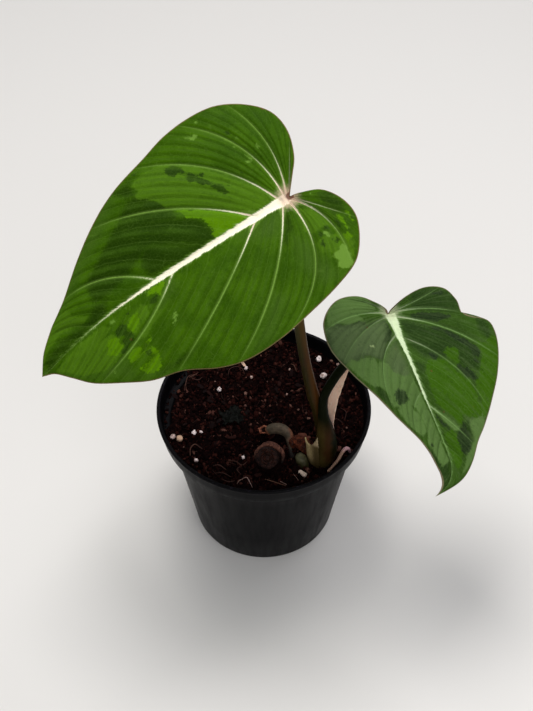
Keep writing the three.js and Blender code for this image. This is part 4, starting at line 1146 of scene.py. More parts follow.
# ---------------------------------------------------------------------------------------------
# The two leaves: soft heart-shaped blades, thinner than a millimetre, puffed up between the side
# veins, on a stout cream midrib that grows on from the stalk. Both droop at the tip, and their
# variegation comes in jagged patches that the side veins bound.
LARGE_LEAF = {
    "length": 148.5, "place": (11.6, -12, 266.1), "turned": (-24.7, 19.9, 206.3), "droop": 20, "fold": 7.9,
    "curl": 0.0026, "swing": (-3.7, -4.6, 17.5, -7), "quilt": 1.5, "wave": 0.9, "waves": 3.5, "midrib": 2.6,
    "left": {
        "margin": [
            (-0.8, 0), (-7.5, 1.8), (-15.9, 6.5), (-21.4, 17), (-20.9, 28.5), (-11.4, 42.6), (3, 49.2),
            (20.5, 53.6), (38.5, 56.5), (56, 56.6), (69.5, 52.8), (84.5, 44.6), (100, 39.4), (113.5, 31),
            (126, 21.6), (134.2, 12), (141.5, 3.7), (148.5, 0),
        ],
        "veins": [
            (-0.9, 0.16, 0), (0.1, 0.264, 0.29), (0.6, 0.442, 0.4), (2.9, 0.556, 0.16), (17.4, 0.677, 0.07),
            (63.6, 0.852, 0.18), (108, 0.92, 0.14),
        ],
    },
    "right": {
        "margin": [
            (-0.8, 0), (-6.8, -7.1), (-13.2, -15.3), (-17.2, -28), (-15.2, -40.3), (-6, -50.4), (6, -56.5),
            (20, -58), (34, -57), (47.7, -53.4), (66, -48.2), (84, -40), (102.3, -29.8), (118, -19.7),
            (131, -13.4), (141.4, -7.3), (148.5, 0),
        ],
        "veins": [
            (-0.9, 0.13, 0), (0.6, 0.292, 0.23), (1.1, 0.401, 0.26), (3.4, 0.528, 0.22),
            (17.1, 0.682, 0.16), (73.1, 0.839, 0.21), (112, 0.92, 0.17),
        ],
    },
    "boldness": {"left": (0.35, 0.9, 1, 1, 1, 0.95, 0.05), "right": (0.2, 0.8, 1, 1, 1, 0.9, 0.05)},
    "midrib_widths": [
        (-1.5, 1.5), (1, 3), (4, 2.9), (10, 2.4), (17, 2.3), (24, 1.9), (43, 1.75), (63, 1.6), (72, 1.6),
        (78, 1.15), (90, 0.85), (102, 0.6), (115, 0.4), (130, 0.3), (148.5, 0.15),
    ],
    "patches": {
        "pale": [
            [(-10.4, 35), (-9.6, 38), (-8.6, 43.6), (-5, 44.8), (-2.8, 43.6), (-1.8, 41.6), (-3.6, 39.4),
             (-2.2, 37.8), (-2.2, 36), (-4, 35.2), (-6, 36), (-7.4, 34), (-9.4, 33.6)],
            [(-6.5, 27.5), (-5.5, 28.1), (-4.8, 26), (-4.2, 25), (-4.8, 23.8), (-5.6, 24.6), (-6.4, 26.2)],
            [(72.6, 18), (73, 20.5), (74.6, 22.8), (77, 24.6), (77.4, 24.2), (76.4, 22.4), (75, 20.4),
             (73.4, 18.4)],
            [(20.2, -48.8), (20.8, -47.6), (22.2, -47.2), (23.4, -48), (25, -49.6), (25.4, -50.8),
             (24, -50.4), (22.6, -49.2), (21, -49.4)],
            [(4, -23.4), (4.8, -24), (5.6, -26.2), (6.6, -28.4), (6, -28.6), (5, -27), (4.4, -25)],
            [(5.8, -23.6), (7, -24.4), (7.6, -25.4), (6.6, -25)],
            [(-1.4, -27.6), (-0.7, -27.6), (-0.6, -29), (-1.3, -29)],
            [(7.8, -33.9), (8.7, -34), (8.6, -34.9), (7.8, -34.8)],
            [(4.5, -36.4), (5.6, -36.6), (5.4, -38), (4.5, -38)],
            [(16.2, -53.4), (17.2, -53.6), (17, -54.6), (16.2, -54.4)],
            [(100.6, 3.6), (101, 5.4), (103, 5.4), (103.6, 3.8)],
            [(113.2, 25), (114.4, 25.2), (114.4, 24), (113.4, 24)],
            [(92.2, 2.6), (93, 3.3), (93, 2.2), (92.4, 2)],
            [(-11.4, 5), (-9.8, 5.2), (-10, 4.4), (-11.2, 4.3)],
        ],
        "bright": [
            [(19, -1.6), (38.2, -1.2), (38.8, -4), (37.3, -5), (37.9, -8), (38.8, -10.5), (39.4, -13),
             (41, -15), (43, -16.4), (45, -18), (45.4, -20), (47.4, -21.6), (48.6, -24.4), (44, -21.4),
             (35, -15), (25, -8), (20, -4.6)],
            [(-15.6, 21), (-14, 20), (-13.8, 23), (-14.4, 26), (-14.8, 29.4), (-15.8, 26)],
            [(-14.4, 30), (-12, 30.4), (-12.2, 33.6), (-14.4, 33.4)],
            [(-19.6, 21), (-18.8, 21), (-18.6, 27), (-19.4, 27)],
            [(91, 34.5), (92.3, 37), (96, 37.6), (99.6, 35.6), (102.7, 31), (100.6, 30.4), (98.8, 33),
             (97, 33.5), (98, 31.2), (92.2, 30.8), (94, 29.6), (93.6, 28.6), (96.4, 28.8), (95.6, 26.2),
             (92.8, 25.8), (90.6, 26.4), (90.2, 30)],
            [(89.6, 22.6), (90.4, 24), (92.6, 23.9), (92.6, 22.6), (90.6, 21.8)],
            [(96.5, 24), (99.6, 26.6), (104, 26.8), (104.2, 23.5), (102, 21.6), (98, 20.8), (96.6, 22)],
            [(89, 9), (90.6, 13.4), (95.4, 15.8), (96, 14.4), (96.6, 12.6), (96, 10.4), (93, 8)],
            [(103.4, 18.6), (109, 19.4), (112, 16), (109, 11), (104, 11.6), (103, 13.6), (103.4, 15.4)],
            [(70, 3), (75, 7.6), (76, 5.4), (80, 4), (80, 2), (70, 1.6)],
        ],
        "light": [
            [(8, -2.6), (18, -3.4), (25, -8.4), (35, -15.4), (46, -23.4), (51, -26.6), (51.5, -29),
             (53, -31.6), (54.5, -33.5), (57, -35.5), (59.5, -37.5), (59.5, -39.5), (57, -40.5),
             (58, -42.5), (58.5, -44), (57, -46), (52, -47), (45, -47), (38, -43.6), (28, -35.6),
             (19, -25.4), (13, -17), (8, -9)],
            [(-13, 33), (-14, 36), (-10.2, 41.4), (-7, 44.8), (-3, 44), (-1.6, 41.6), (-3.4, 39.4),
             (-1.8, 37.8), (-2.4, 34), (1, 33), (1.4, 27), (-3, 26), (-8, 27.5), (-10.5, 28)],
            [(-11.4, 27), (-9.4, 19), (-6, 12), (-1, 7), (0, 14), (2.6, 17.4), (2.4, 19), (0.8, 21),
             (-1, 22.6), (-5, 22), (-8, 22.4), (-9.4, 26)],
            [(103, 19), (110, 21), (119, 20.6), (128, 15.4), (135, 8.4), (140, 3.4), (124, 2), (108, 2.4),
             (104, 6.4), (112, 8.4), (104, 9.6)],
            [(110.8, -6), (112, -4.8), (115, -4.8), (120, -7), (128, -8.4), (136, -7.4), (141, -5),
             (143.6, -4.4), (141, -7.6), (135.6, -12.6), (128, -14.6), (121, -16.4), (119, -15),
             (117.4, -13), (117.2, -10.8), (115.4, -9), (113, -7.4)],
            [(78, 14), (88, 18.8), (92.6, 20.6), (93.2, 18.6), (88, 16.6), (80, 13)],
            [(83, 8), (84, 12), (89, 14), (90, 8), (86, 5.6)],
        ],
        "dark": [
            [(21.5, -16.8), (23.4, -16.8), (24.6, -19), (26, -20), (27, -22.6), (28.6, -25.6),
             (31.4, -27.4), (32, -29.6), (34.8, -30.6), (34.8, -33), (33.6, -34.8), (31.6, -34.4),
             (30, -32.4), (28.8, -28.8), (27, -27), (26, -25), (25, -22.4), (23, -22.6), (22, -20.4)],
            [(19.5, -18.6), (20.9, -18.6), (21, -20), (19.7, -20)],
            [(26.8, -30.2), (28.6, -30.2), (28.8, -31.8), (27, -31.8)],
            [(34.4, -35.8), (36.4, -37.2), (39.6, -37.2), (41.8, -38.8), (41.6, -41.6), (40.6, -43.6),
             (37.6, -42.6), (35.4, -41.4), (34.2, -39.4)],
            [(11, -20.4), (12.4, -20.6), (12.6, -22.6), (11.2, -22.4)],
            [(6.4, -40.8), (8.2, -41), (8.4, -42.8), (6.6, -42.8)],
            [(51.2, -27.2), (53, -28), (56, -29.6), (58, -31.6), (58.4, -33.6), (56, -34), (53.4, -32.2),
             (51.8, -30)],
            [(96, 17.5), (97.4, 18.6), (99.6, 18.6), (103, 20.6), (106, 20.8), (106, 18.8), (103, 18.6),
             (102, 17.4), (103, 15.6), (100.4, 15), (100.6, 13.6), (103.6, 12.4), (103.2, 9.6),
             (100.6, 9.2), (99.8, 8), (97.6, 8), (96.4, 10.4), (97, 12.6), (96, 14.4)],
            [(76.4, 6.6), (77.4, 8.6), (80, 9.4), (81.4, 7.6), (80, 6), (77.4, 5.8)],
            [(92.6, 6.4), (94.4, 6.6), (94.2, 5.3), (92.8, 5.3)],
            [(-9.4, 31.4), (-8, 33), (-6, 32), (-6.8, 30.4), (-8.4, 30)],
            [(-13.4, 21), (-12, 22), (-12, 26.4), (-13.4, 26)],
            [(-8.2, 24.6), (-7.2, 25), (-5.4, 22.8), (-6.4, 21.8), (-8, 22.4)],
            [(-2.8, 28.4), (-1, 30.6), (-0.4, 28.6), (-2, 26.8)],
            [(-6.8, 29.8), (-5.6, 30), (-5.4, 28.8), (-6.6, 28.6)],
            [(-4.2, 25.4), (-1.6, 26), (-1.4, 24.4), (-3.6, 23.6)],
            [(91.8, 30), (94.6, 30), (96.4, 27.6), (94.6, 25.6), (92.4, 26.4), (92.8, 28.6)],
            [(52, -48), (52, -50), (56, -49.6), (55.6, -48)],
        ],
        "shade": [
            [(38.6, -1.4), (56, -1.4), (74, -3), (76, -9), (72, -15), (60, -18), (50, -20.4), (44, -17.4),
             (39.4, -12), (37.8, -6)],
            [(54, -14), (70, -14), (92, -8), (104, -8), (104, -18), (84, -28), (66, -38), (56, -40),
             (48, -32), (48, -20)],
            [(72, 38), (80, 40.8), (90, 41), (96, 39.4), (90, 38.6), (80, 38.4)],
            [(104, -0.8), (120, -0.8), (142, -1), (142, -3.6), (130, -5.6), (112, -4), (104, -8), (98, -6)],
            [(59, -40), (60, -45), (57, -48), (68, -46), (64, -40)],
            [(5, 6), (8, 12), (14, 18), (12, 20), (6, 14), (4, 8)],
            [(-20, 9), (-12, 7), (-13, 20), (-19, 20)],
        ],
        # Grey patches are painted sheen: grey-green where the velvety blade would catch the light.
        "grey": [
            [(5, 3), (30, 3.4), (24, 10), (14, 14), (8, 10)],
            [(66, 3), (70, 3), (80, 13), (74, 12), (66, 7)],
            [(82, -34), (100, -26), (116, -18), (122, -17), (106, -29), (84, -41), (66, -48)],
            [(8, 20), (12, 34), (8, 46), (0, 46), (3, 34), (4, 24)],
            [(30, 36), (40, 46), (52, 54), (40, 54), (26, 42)],
            [(106, 24), (122, 20), (132, 13), (138, 7), (126, 18), (106, 34)],
            [(84, 44), (96, 40), (106, 33), (96, 37)],
        ],
        "rust": [
            [(-3.2, -2), (0.4, -2), (0.6, 1), (-2.6, 1.6)],
            [(97.6, 17.8), (98.8, 18), (99, 16.8), (98, 16.6)],
            [(-13.3, -42.5), (-12.3, -42.5), (-12.4, -43.5), (-13.4, -43.3)],
            [(63.6, 15.4), (64.2, 15.4), (64.2, 14.7), (63.6, 14.7)],
            [(70.4, 23.6), (71, 23.6), (71, 22.9), (70.4, 22.9)],
        ],
    },
}
SMALL_LEAF = {
    "length": 100, "place": (64.4, -5, 179.2), "turned": (-11.2, 16.1, -72.8), "droop": 15.9, "fold": 18.3,
    "curl": 0.0022, "swing": (11, -2.4, 14.8, -26), "quilt": 1.2, "wave": 0.7, "waves": 3, "midrib": 2,
    "left": {
        "margin": [
            (1, 0), (-4.5, 10), (-7.6, 22.5), (-4.7, 32.7), (3, 36.6), (11.5, 36), (15, 40), (18.2, 46.6),
            (25, 47.9), (35, 45.6), (47, 40), (59.5, 31.4), (70, 23.3), (78, 16.5), (88, 11), (95.5, 7),
            (100, 0),
        ],
        "veins": [
            (0.7, 0.09, 0), (1.4, 0.202, -0.05), (1.5, 0.318, 0.14), (2.7, 0.525, 0.14),
            (15.1, 0.708, 0.22), (53.8, 0.843, 0.06), (76, 0.92, 0.09),
        ],
    },
    "right": {
        "margin": [
            (1, 0), (-4.7, -6.8), (-8.3, -17.4), (-7, -29), (-1.5, -37.8), (9, -46.6), (22, -48.4),
            (34.6, -40.7), (46.6, -31), (60, -23.3), (73.5, -13.8), (87, -7.9), (100, 0),
        ],
        "veins": [
            (0.7, 0.09, 0), (1, 0.2, 0.13), (1.5, 0.366, 0.15), (2.6, 0.483, 0.14), (13.2, 0.706, 0.35),
            (46, 0.79, 0.27), (72, 0.9, 0.22),
        ],
    },
    "boldness": {
        "left": (0.1, 0.45, 0.8, 0.65, 0.3, 0.35, 0.05), "right": (0.1, 0.2, 0.7, 0.25, 0.35, 0.1, 0.05),
    },
    "midrib_widths": [
        (0.4, 0.6), (1.6, 3.4), (6, 3.3), (10, 2.8), (15, 2), (22, 1.45), (30, 1.15), (45, 0.85), (54, 0.6),
        (60, 0.45), (75, 0.4), (88, 0.25), (100, 0.1),
    ],
    "patches": {
        "pale": [[(20.5, -21.4), (21.3, -21.2), (21.5, -23.6), (20.7, -23.6)]],
        "bright": [
            [(26.6, 45.4), (28, 43), (29, 41), (28.4, 38.6), (27.6, 36.6), (31, 37), (34.4, 36.8), (37, 35),
             (38.6, 34.2), (42, 33), (46, 30.6), (48, 27.6), (50, 26.6), (60, 26.4), (66, 24), (62, 30),
             (50, 39), (38, 45), (28, 47)],
            [(28.2, 24), (29, 25.4), (31.4, 25.4), (33, 24.6), (36.4, 23.4), (38, 20.8), (33, 18.6),
             (29, 17.6), (27.8, 20)],
            [(31.8, 16), (32, 11), (31, 8.4), (34, 5.6), (44, 4.4), (54, 4), (58, 7), (64, 10), (67, 10.8),
             (67, 12), (65, 13.4), (63, 14.4), (63.5, 15.6), (65, 17), (64, 18.5), (65.2, 20), (65, 22),
             (64, 25), (54, 26), (47, 25.4), (45, 23), (40, 20.6), (35, 18.4)],
            [(68.6, 6), (71, 7.6), (76, 7.9), (82, 7.4), (88, 5), (90, 2.4), (80, 1.2), (70, 1.2)],
        ],
        "light": [
            [(27, -27), (27.2, -31), (27.6, -36), (29, -38.6), (33, -39), (38, -35.4), (42, -31), (42, -28),
             (38, -25), (32, -23.4), (28, -24)],
            [(53.4, -12), (60, -9), (68, -9.6), (70, -13), (62, -20), (55, -22.4), (53.4, -19)],
            [(27, -38.4), (28.4, -36.4), (32, -35), (36, -34.4), (38, -35.6), (33, -40), (30, -41.6),
             (28, -39.8)],
            [(-8, -12), (0, -8), (1.2, -14), (2.6, -22), (6.6, -20.6), (7, -24), (8.6, -31), (7.4, -38),
             (9.2, -42), (9.6, -44.6), (0, -40), (-7, -30), (-9, -19)],
            [(36, -4), (44, -2.6), (62, -2), (84, -2), (86, -6), (74, -11), (66, -9), (54, -10),
             (53.4, -24), (46, -24), (41, -29), (30, -23), (28.6, -19), (31, -17), (36, -15), (38, -9)],
            [(55, 1.6), (60, 5.6), (64, 8.6), (68, 10.6), (71, 10.2), (69.6, 7), (66, 5.4), (62, 3.6),
             (58, 1.6)],
            [(60, 28), (66, 22), (66, 17), (68, 16), (76, 15.6), (80, 12), (82, 9), (92, 6), (84, 13),
             (72, 22)],
        ],
        "dark": [
            [(9.4, 9.4), (12, 13), (16, 20), (20, 26), (25, 31), (28, 33.4), (30.5, 35.6), (34, 36),
             (36, 34.4), (35.4, 32.2), (32, 31.6), (29.4, 30), (27, 28.4), (24.6, 26.4), (21, 24),
             (18, 21.6), (17.4, 19.6), (15, 17.6), (11, 10.8)],
            [(26.8, 10.6), (29, 10.2), (31.6, 11.4), (31.8, 13), (30.6, 14.6), (28.6, 14.6), (27.4, 13)],
            [(36.6, 21.8), (39, 21.4), (41, 22.6), (44.6, 23.6), (44.8, 25.6), (47, 27), (46.4, 29.4),
             (43.6, 29.2), (41.4, 27.4), (40, 26.6), (39.6, 24.4), (37, 23.2)],
            [(36.2, 30.4), (38.4, 31), (39.4, 33), (38, 33.8), (36.6, 33)],
            [(58.6, 2.2), (61, 3), (64, 4), (67.6, 5.8), (69, 5), (67, 3.6), (65.6, 1.6), (60, 1.4)],
            [(66, 13.4), (69, 11), (70.4, 8), (74, 6.8), (81, 7), (83, 9), (80, 12), (76, 14), (70, 14)],
            [(5, -5.4), (14.4, -3.9), (16, -5.4), (18, -8.9), (20, -11.9), (24, -15), (27, -17.6),
             (28.6, -20), (27.6, -23), (26, -26), (26, -29), (27.4, -32), (28.6, -34.8), (27.6, -36.6),
             (26.6, -38.6), (28, -40), (29.6, -42), (31, -43.4), (28, -46.4), (20, -49), (12, -47.4),
             (9.6, -44.8), (9, -42), (9.4, -40), (7.6, -38), (8.6, -35), (9, -31), (7.6, -27), (7, -23),
             (7.4, -20.6), (9.6, -19), (9.4, -15), (7.6, -11), (5.6, -7.4)],
            [(45.2, -14.4), (46.6, -12.8), (50, -12.6), (51.4, -14), (52.4, -17), (52.4, -20.4),
             (50, -21.4), (47, -21.2), (45.4, -20), (44.9, -17)],
            [(74, -8.2), (76, -8.4), (76, -9.8), (74.2, -9.6)],
            [(5.4, 10), (8, 9.6), (11, 17), (13, 24), (12, 30), (8.4, 24), (6, 16)],
            [(-4, 25), (-2, 25), (-1, 31), (-3, 31)], [(16, 17.6), (17.6, 20.6), (16.6, 22), (15, 19)],
        ],
        "shade": [
            [(5, 3.6), (20, 3.2), (29, 7), (31, 14), (34, 20), (37, 23), (41, 26), (43, 30), (40, 34),
             (34, 34), (27, 31.5), (20, 26), (13, 16), (8, 8)],
            [(-6, 14), (3, 12), (7, 22), (10, 34), (6, 37), (0, 36), (-5, 31), (-8, 22)],
            [(41.4, -30), (42.6, -27.4), (45, -25), (49, -23.6), (54, -24.6), (50, -28), (46, -30.6)],
            [(47, -20), (53, -20), (53, -22.6), (48, -22.8)],
            [(16, 41), (22, 40), (28, 43), (26, 45), (20, 46), (17, 45)],
            [(37.6, -12), (41, -12), (41.4, -15.6), (38, -16)],
            [(66, 16), (68, 12.8), (76, 12.6), (80, 11), (78, 14), (72, 16)],
            [(1, 22), (6, 30), (8, 36), (0, 34), (-4, 26), (-4, 18)], [(33, 7), (37, 5), (37, 2), (30, 2)],
            [(74, -3), (90, -1.5), (98, -1), (88, -9), (77, -13)],
        ],
        # Grey patches are painted sheen: grey-green where the velvety blade would catch the light.
        "grey": [
            [(18, -4), (36, -3.4), (38, -9), (36, -15), (30, -17), (25, -14), (20, -9)],
            [(6, -5), (22, -13), (28, -20), (26, -29), (28, -35), (30, -42), (25, -48), (10, -46),
             (8, -24)],
            [(18, -4), (36, -3), (44, -8), (44, -16), (38, -20), (28, -17), (22, -10)],
            [(65, 20), (66, 16), (78, 15), (84, 11), (76, 19), (68, 24)],
        ],
        "rust": [
            [(-0.6, -1.6), (1, -1.6), (1.2, 0.8), (0, 0.8)],
            [(36.8, 8.6), (38, 8.3), (37.8, 7.2), (37, 7.4)],
            [(58.6, 6.4), (59.7, 6.3), (59.5, 5.4), (58.8, 5.5)],
            [(59.6, 21.8), (60.3, 21.7), (60.2, 21), (59.7, 21)],
            [(45.8, -1.2), (46.6, -1.2), (46.5, -2), (45.8, -2)],
            [(22, -6.6), (22.9, -6.7), (22.8, -7.7), (22.1, -7.6)],
            [(34, 1.2), (34.8, 1.2), (34.8, 0.6), (34, 0.6)],
            [(9.6, -18.8), (10.2, -18.8), (10.2, -20.4), (9.8, -20.4)],
        ],
    },
}
HALVES = (("right", -1), ("left", 1))
GAPS = 8
LINES_PER_GAP = 30
ACROSS_HALF = 60
BLADE = 0.8
BLADE_EDGE = 0.34
FLAT_TIP = 0.6
RUMPLE = 0.16


def even_curve(points, count=900):
    """Evenly spaced points along a smooth flat curve through the given ones."""
    given = np.array(points, float)
    padded = np.vstack([given[:1], given, given[-1:]])
    place = np.linspace(0, len(given) - 1, 4000)
    part = np.clip(place.astype(int), 0, len(given) - 2)
    t = (place - part)[:, None]
    a, b, c, d = padded[part], padded[part + 1], padded[part + 2], padded[part + 3]
    curve = b + 0.5 * t * (c - a + t * (2 * a - 5 * b + 4 * c - d + t * (3 * (b - c) + d - a)))
    return evenly(curve, count)


def half_lines(leaf, key, side, orders, share):
    """Flat places on lines that run from the midrib to the margin. Order 0 is the notch, whole
    numbers are the side veins, and the last is the tip."""
    margin = leaf[key]["margin"]
    lines = np.array([(margin[0][0], 0, 0), *leaf[key]["veins"], (leaf["length"], 1, 0)])
    foot, end, bow = (np.interp(orders, np.arange(len(lines)), line)[:, None] for line in lines.T)
    curve = even_curve(margin)
    tip_x, tip_y = (np.interp(end * (len(curve) - 1), np.arange(len(curve)), line) for line in curve.T)
    pull = 2 * share * (1 - share) * bow * side
    along = foot + (tip_x - foot) * share - pull * tip_y
    across = tip_y * share + pull * (tip_x - foot)
    return along, across, foot, end


def line_distance(places, line):
    """Each place's distance to a line of points, and how far along the line that is, 0 to 1."""
    best = np.full(len(places), 1e9)
    share = np.zeros(len(places))
    for k, (start, stop) in enumerate(zip(line, line[1:])):
        run = stop - start
        t = np.clip(((places - start) @ run) / max(run @ run, 1e-12), 0, 1)
        apart = np.linalg.norm(places - start - t[:, None] * run, axis=1)
        nearer = apart < best
        best = np.where(nearer, apart, best)
        share = np.where(nearer, (k + t) / (len(line) - 1), share)
    return best, share


def inside_patch(places, outline):
    """How far a place is inside an outline, in millimetres; less than nothing outside."""
    closed = np.array([*outline, outline[0]], float)
    apart, _ = line_distance(places, closed)
    x, y = places.T
    inside = np.zeros(len(places), bool)
    for (ax, ay), (bx, by) in zip(closed, closed[1:]):
        crosses = (ay > y) != (by > y)
        reach = ax + (y - ay) * (bx - ax) / (by - ay if by != ay else 1e-9)
        inside ^= crosses & (x < reach)
    return np.where(inside, apart, -apart)


def blade_point(leaf, along, across, height):
    """Bends a flat place into the leaf's real shape and raises it by height."""
    turn = math.radians(leaf["droop"]) / leaf["length"]
    far = np.maximum(along, 0) / leaf["length"]
    fold = math.radians(leaf["fold"]) * (1 - FLAT_TIP * far ** 4)
    slope = fold - leaf["curl"] * np.abs(across)
    reach = (np.sin(fold) - np.sin(slope)) / leaf["curl"]
    rise = (np.cos(slope) - np.cos(fold)) / leaf["curl"] + height * np.cos(slope)
    swing = sum(part * far ** power for part, power in zip(leaf["swing"], (1, 3, 6, 12)))
    bent = np.stack([
        np.sin(turn * along) / turn + rise * np.sin(turn * along),
        np.sign(across) * (reach - height * np.sin(slope)) + swing,
        -(1 - np.cos(turn * along)) / turn + rise * np.cos(turn * along),
    ], axis=-1)
    return turned(bent, [math.radians(angle) for angle in leaf["turned"]], leaf["place"])


def flat_blade(leaf):
    """Rows of the flat blade from margin to margin: how far along and across each point lies, how
    high it is puffed, its share of the way from midrib to margin, and the order of its line."""
    orders = np.linspace(0, GAPS, GAPS * LINES_PER_GAP + 1)[:, None]
    share = np.linspace(0, 1, ACROSS_HALF + 1)[None, :]
    halves = [half_lines(leaf, key, side, orders[:, 0], share) for key, side in HALVES]
    middle = (halves[0][2] + halves[1][2]) / 2
    to_tip = 1 - np.maximum(middle, 0) / leaf["length"]
    puff = leaf["quilt"] * np.abs(np.sin(np.pi * orders)) ** 0.8 * np.sin(np.pi * share) ** 0.6
    ripple = 0.36 * np.abs(np.sin(4 * np.pi * orders)) * np.sin(np.pi * share ** 0.8) ** 0.8
    strips = []
    for (_, side), (along, across, foot, end) in zip(HALVES, halves):
        along = along + (middle - foot) * (1 - np.minimum(1, share / 0.14))
        across = np.where(share == 0, 1e-6 * side, across)
        wave = leaf["wave"] * np.sin(2 * np.pi * leaf["waves"] * end) * np.minimum(1, 6 * to_tip)
        height = puff + ripple * np.minimum(1, 3 * to_tip) + wave * share ** 3
        strip = np.array(np.broadcast_arrays(along, across, height, share, orders))
        strips.append(strip[..., ::-1] if side < 0 else strip[..., 1:])
    return np.concatenate(strips, axis=2)


def nearest_vein(leaf, places):
    """For each place, how far inside the nearest side vein it is, how far from the vein's foot, how
    boldly the vein is drawn there, and how far off it runs."""
    nearest = [np.full(len(places), start) for start in (-9.0, 0.0, 1.0, 99.0)]
    for key, side in HALVES:
        for order in range(1, GAPS):
            along, across, foot, _ = half_lines(leaf, key, side, [order], np.linspace(0, 1, 50))
            foot = foot[0, 0]
            line = np.stack([along[0], across[0]], axis=-1)
            apart, part = line_distance(places, line)
            way = np.linalg.norm(np.diff(line, axis=0), axis=1).sum() * part
            slender = min(1, 1.6 * (1 - foot / leaf["length"]) + 0.1)
            half_width = (0.32 * np.exp(-way / 9) + 0.17 * (1 - part) + 0.07) * slender
            bold = leaf["boldness"][key][order - 1] * np.clip((1.02 - part) / 0.34, 0, 1)
            nearer = (np.sign(places[:, 1]) == side) & (apart < nearest[3])
            found = (half_width - apart, way + 0.35 * max(0, foot - 30), bold, apart)
            nearest = [np.where(nearer, new, old) for new, old in zip(found, nearest)]
    return nearest


def grow_leaf(name, leaf):
    """The whole blade, with marks for its veins, midrib, margin and patches."""
    blade = flat_blade(leaf)
    rows, columns = blade.shape[1:]
    x, y, height, whole, line = blade.reshape(5, -1)
    places = np.stack([x, y], axis=-1)
    vein, way, bold, near = nearest_vein(leaf, places)
    midrib = np.interp(x, *np.array(leaf["midrib_widths"]).T) - np.abs(y)
    midrib = np.where(x < -0.5, midrib - 1.2 * (-0.5 - x), midrib)
    left, right = (even_curve(leaf[key]["margin"], 220) for key in ("left", "right"))
    margin, _ = line_distance(places, np.vstack([left, right[::-1]]))
    marks = {"vein": vein, "way": way, "bold": bold, "midrib": midrib, "margin": margin}
    for patch, outlines in leaf["patches"].items():
        marks[patch] = np.maximum(np.max([inside_patch(places, outline) for outline in outlines], axis=0), -8)
    marks["flat"] = np.stack([x, y, 0 * x], axis=-1)
    marks["grain"] = np.stack([line * 6, whole * 5, np.sign(y) * 3], axis=-1)

    furrow = 0.42 * np.exp(-((near / 1.3) ** 2)) * (1 - whole) ** 0.5 * (0.3 + 0.7 * bold)
    channel = 0.5 * np.exp(-((y / 1.6) ** 2)) * np.clip(midrib + np.abs(y), 0.3, 2) / 2
    height = height + RUMPLE * (uneven(x * 0.12, y * 0.12, 2) + 0.5 * uneven(x * 0.35, y * 0.35, 7))
    to_tip = np.clip(1 - x / leaf["length"], 0, 1)
    fade = 1 - np.exp(-np.abs(x - leaf["length"]) / 6)
    rib = 0.9 * np.exp(-((near / 0.9) ** 2)) * (1 - whole) ** 0.6 * np.minimum(1, 3 * to_tip)
    keel = leaf["midrib"] * (0.15 + 0.85 * to_tip) * np.exp(-((y / 1.9) ** 2))
    boss = 1.7 * np.exp(-((x ** 2 + y ** 2) / 3.4 ** 2))
    thick = BLADE_EDGE + (BLADE - BLADE_EDGE) * (1 - whole ** 5)
    upper = blade_point(leaf, x, y, height - furrow - channel)
    lower = blade_point(leaf, x, y, height - thick - np.maximum(rib, keel) * fade - boss)
    marks = {mark: np.concatenate([values, values]) for mark, values in marks.items()}
    marks["under"] = np.repeat([0.0, 1.0], len(x))
    return make_piece(name, [upper, lower], thin_sheet(rows, columns, ends=False), marks)


large_leaf = grow_leaf("large_leaf_blade", LARGE_LEAF)
small_leaf = grow_leaf("small_leaf_blade", SMALL_LEAF)

# The blade's colours: two greens clouded together, jagged lighter, darker and paler patches over
# them, greyer patches that are painted sheen, bands of painted sheen and painted shade along the
# slopes between the side veins, then the veins, the midrib with its feathered edge, and the thin margin.
BLADE_MARKS = "Vein, Way, Bold, Midrib, Margin, Pale, Bright, Light, Dark, Shade, Grey, Rust, Under"
LEAF_TONES = ("Light", "Dark", "Shade", "Grey")
BLADE_COLOURS = (
    "Green 1, Green 2, Bright Green, Light Green, Dark Green, Shade Green, Grey Green, Pale Green, "
    "Cream, Blush, Vein Colour, Edge Colour, Underside"
)
variegation = Effect("blade_variegation", {
    "Vector": "Flat, Grain",
    "Float": BLADE_MARKS + ", Vein Fade, Midrib Fade, Ridging, Softness",
    "Color": BLADE_COLOURS,
}, {"Color": "Color", "Float": "Height, Wet"})
given = variegation.given
flat, grain, vein, way, bold, midrib = list(given.values())[:6]
light_green, dark_green, shade_green, grey_green = (given[name + " Green"] for name in LEAF_TONES)
vein_colour, cream, blush = given["Vein Colour"], given["Cream"], given["Blush"]

ragged_wide = speckle(flat, 0.22, 3) - 0.5
ragged_fine = speckle(flat, 0.9, 3, 0.7) - 0.5
ragged = ragged_wide * 3.0 + ragged_fine * 2.8
along_veins = speckle(grain, 1.3, 5, 0.62, stretch=(1, 0.4, 1))
fine_flecks = speckle(grain, 5.5, 3, stretch=(1, 0.5, 1))
cell_tone = add_node(variegation.group, "SeparateColor", 0, {0: cells(flat, 0.75, "Color")})
clouds = speckle(flat, 0.055, 4)
# Painted sheen and shade in bands on the slopes of the ridges between the side veins; toward_light picks out
# the slope that faces the light.
ridges = grain.along("X") * (4 / 6) + ragged_wide * 0.2
toward_light = (ridges * (grain.along("Z") * (2 * math.pi / 3)) - 2.5).put("SINE")


def patch(name, soft, reach, amount=1.0):
    """A jagged patch where its mark is inside the outline."""
    return step(given[name] + ragged * reach, -soft, soft, 0, amount)


# How strongly the bands of painted sheen and painted shade show.
swing = step(grain.along("Y"), 0.1, 1.6) * step(clouds, 0.36, 0.6, 0.35, 1.0) * given["Ridging"]
glowing = (given["Bright"] + ragged * 1.4) / given["Softness"]
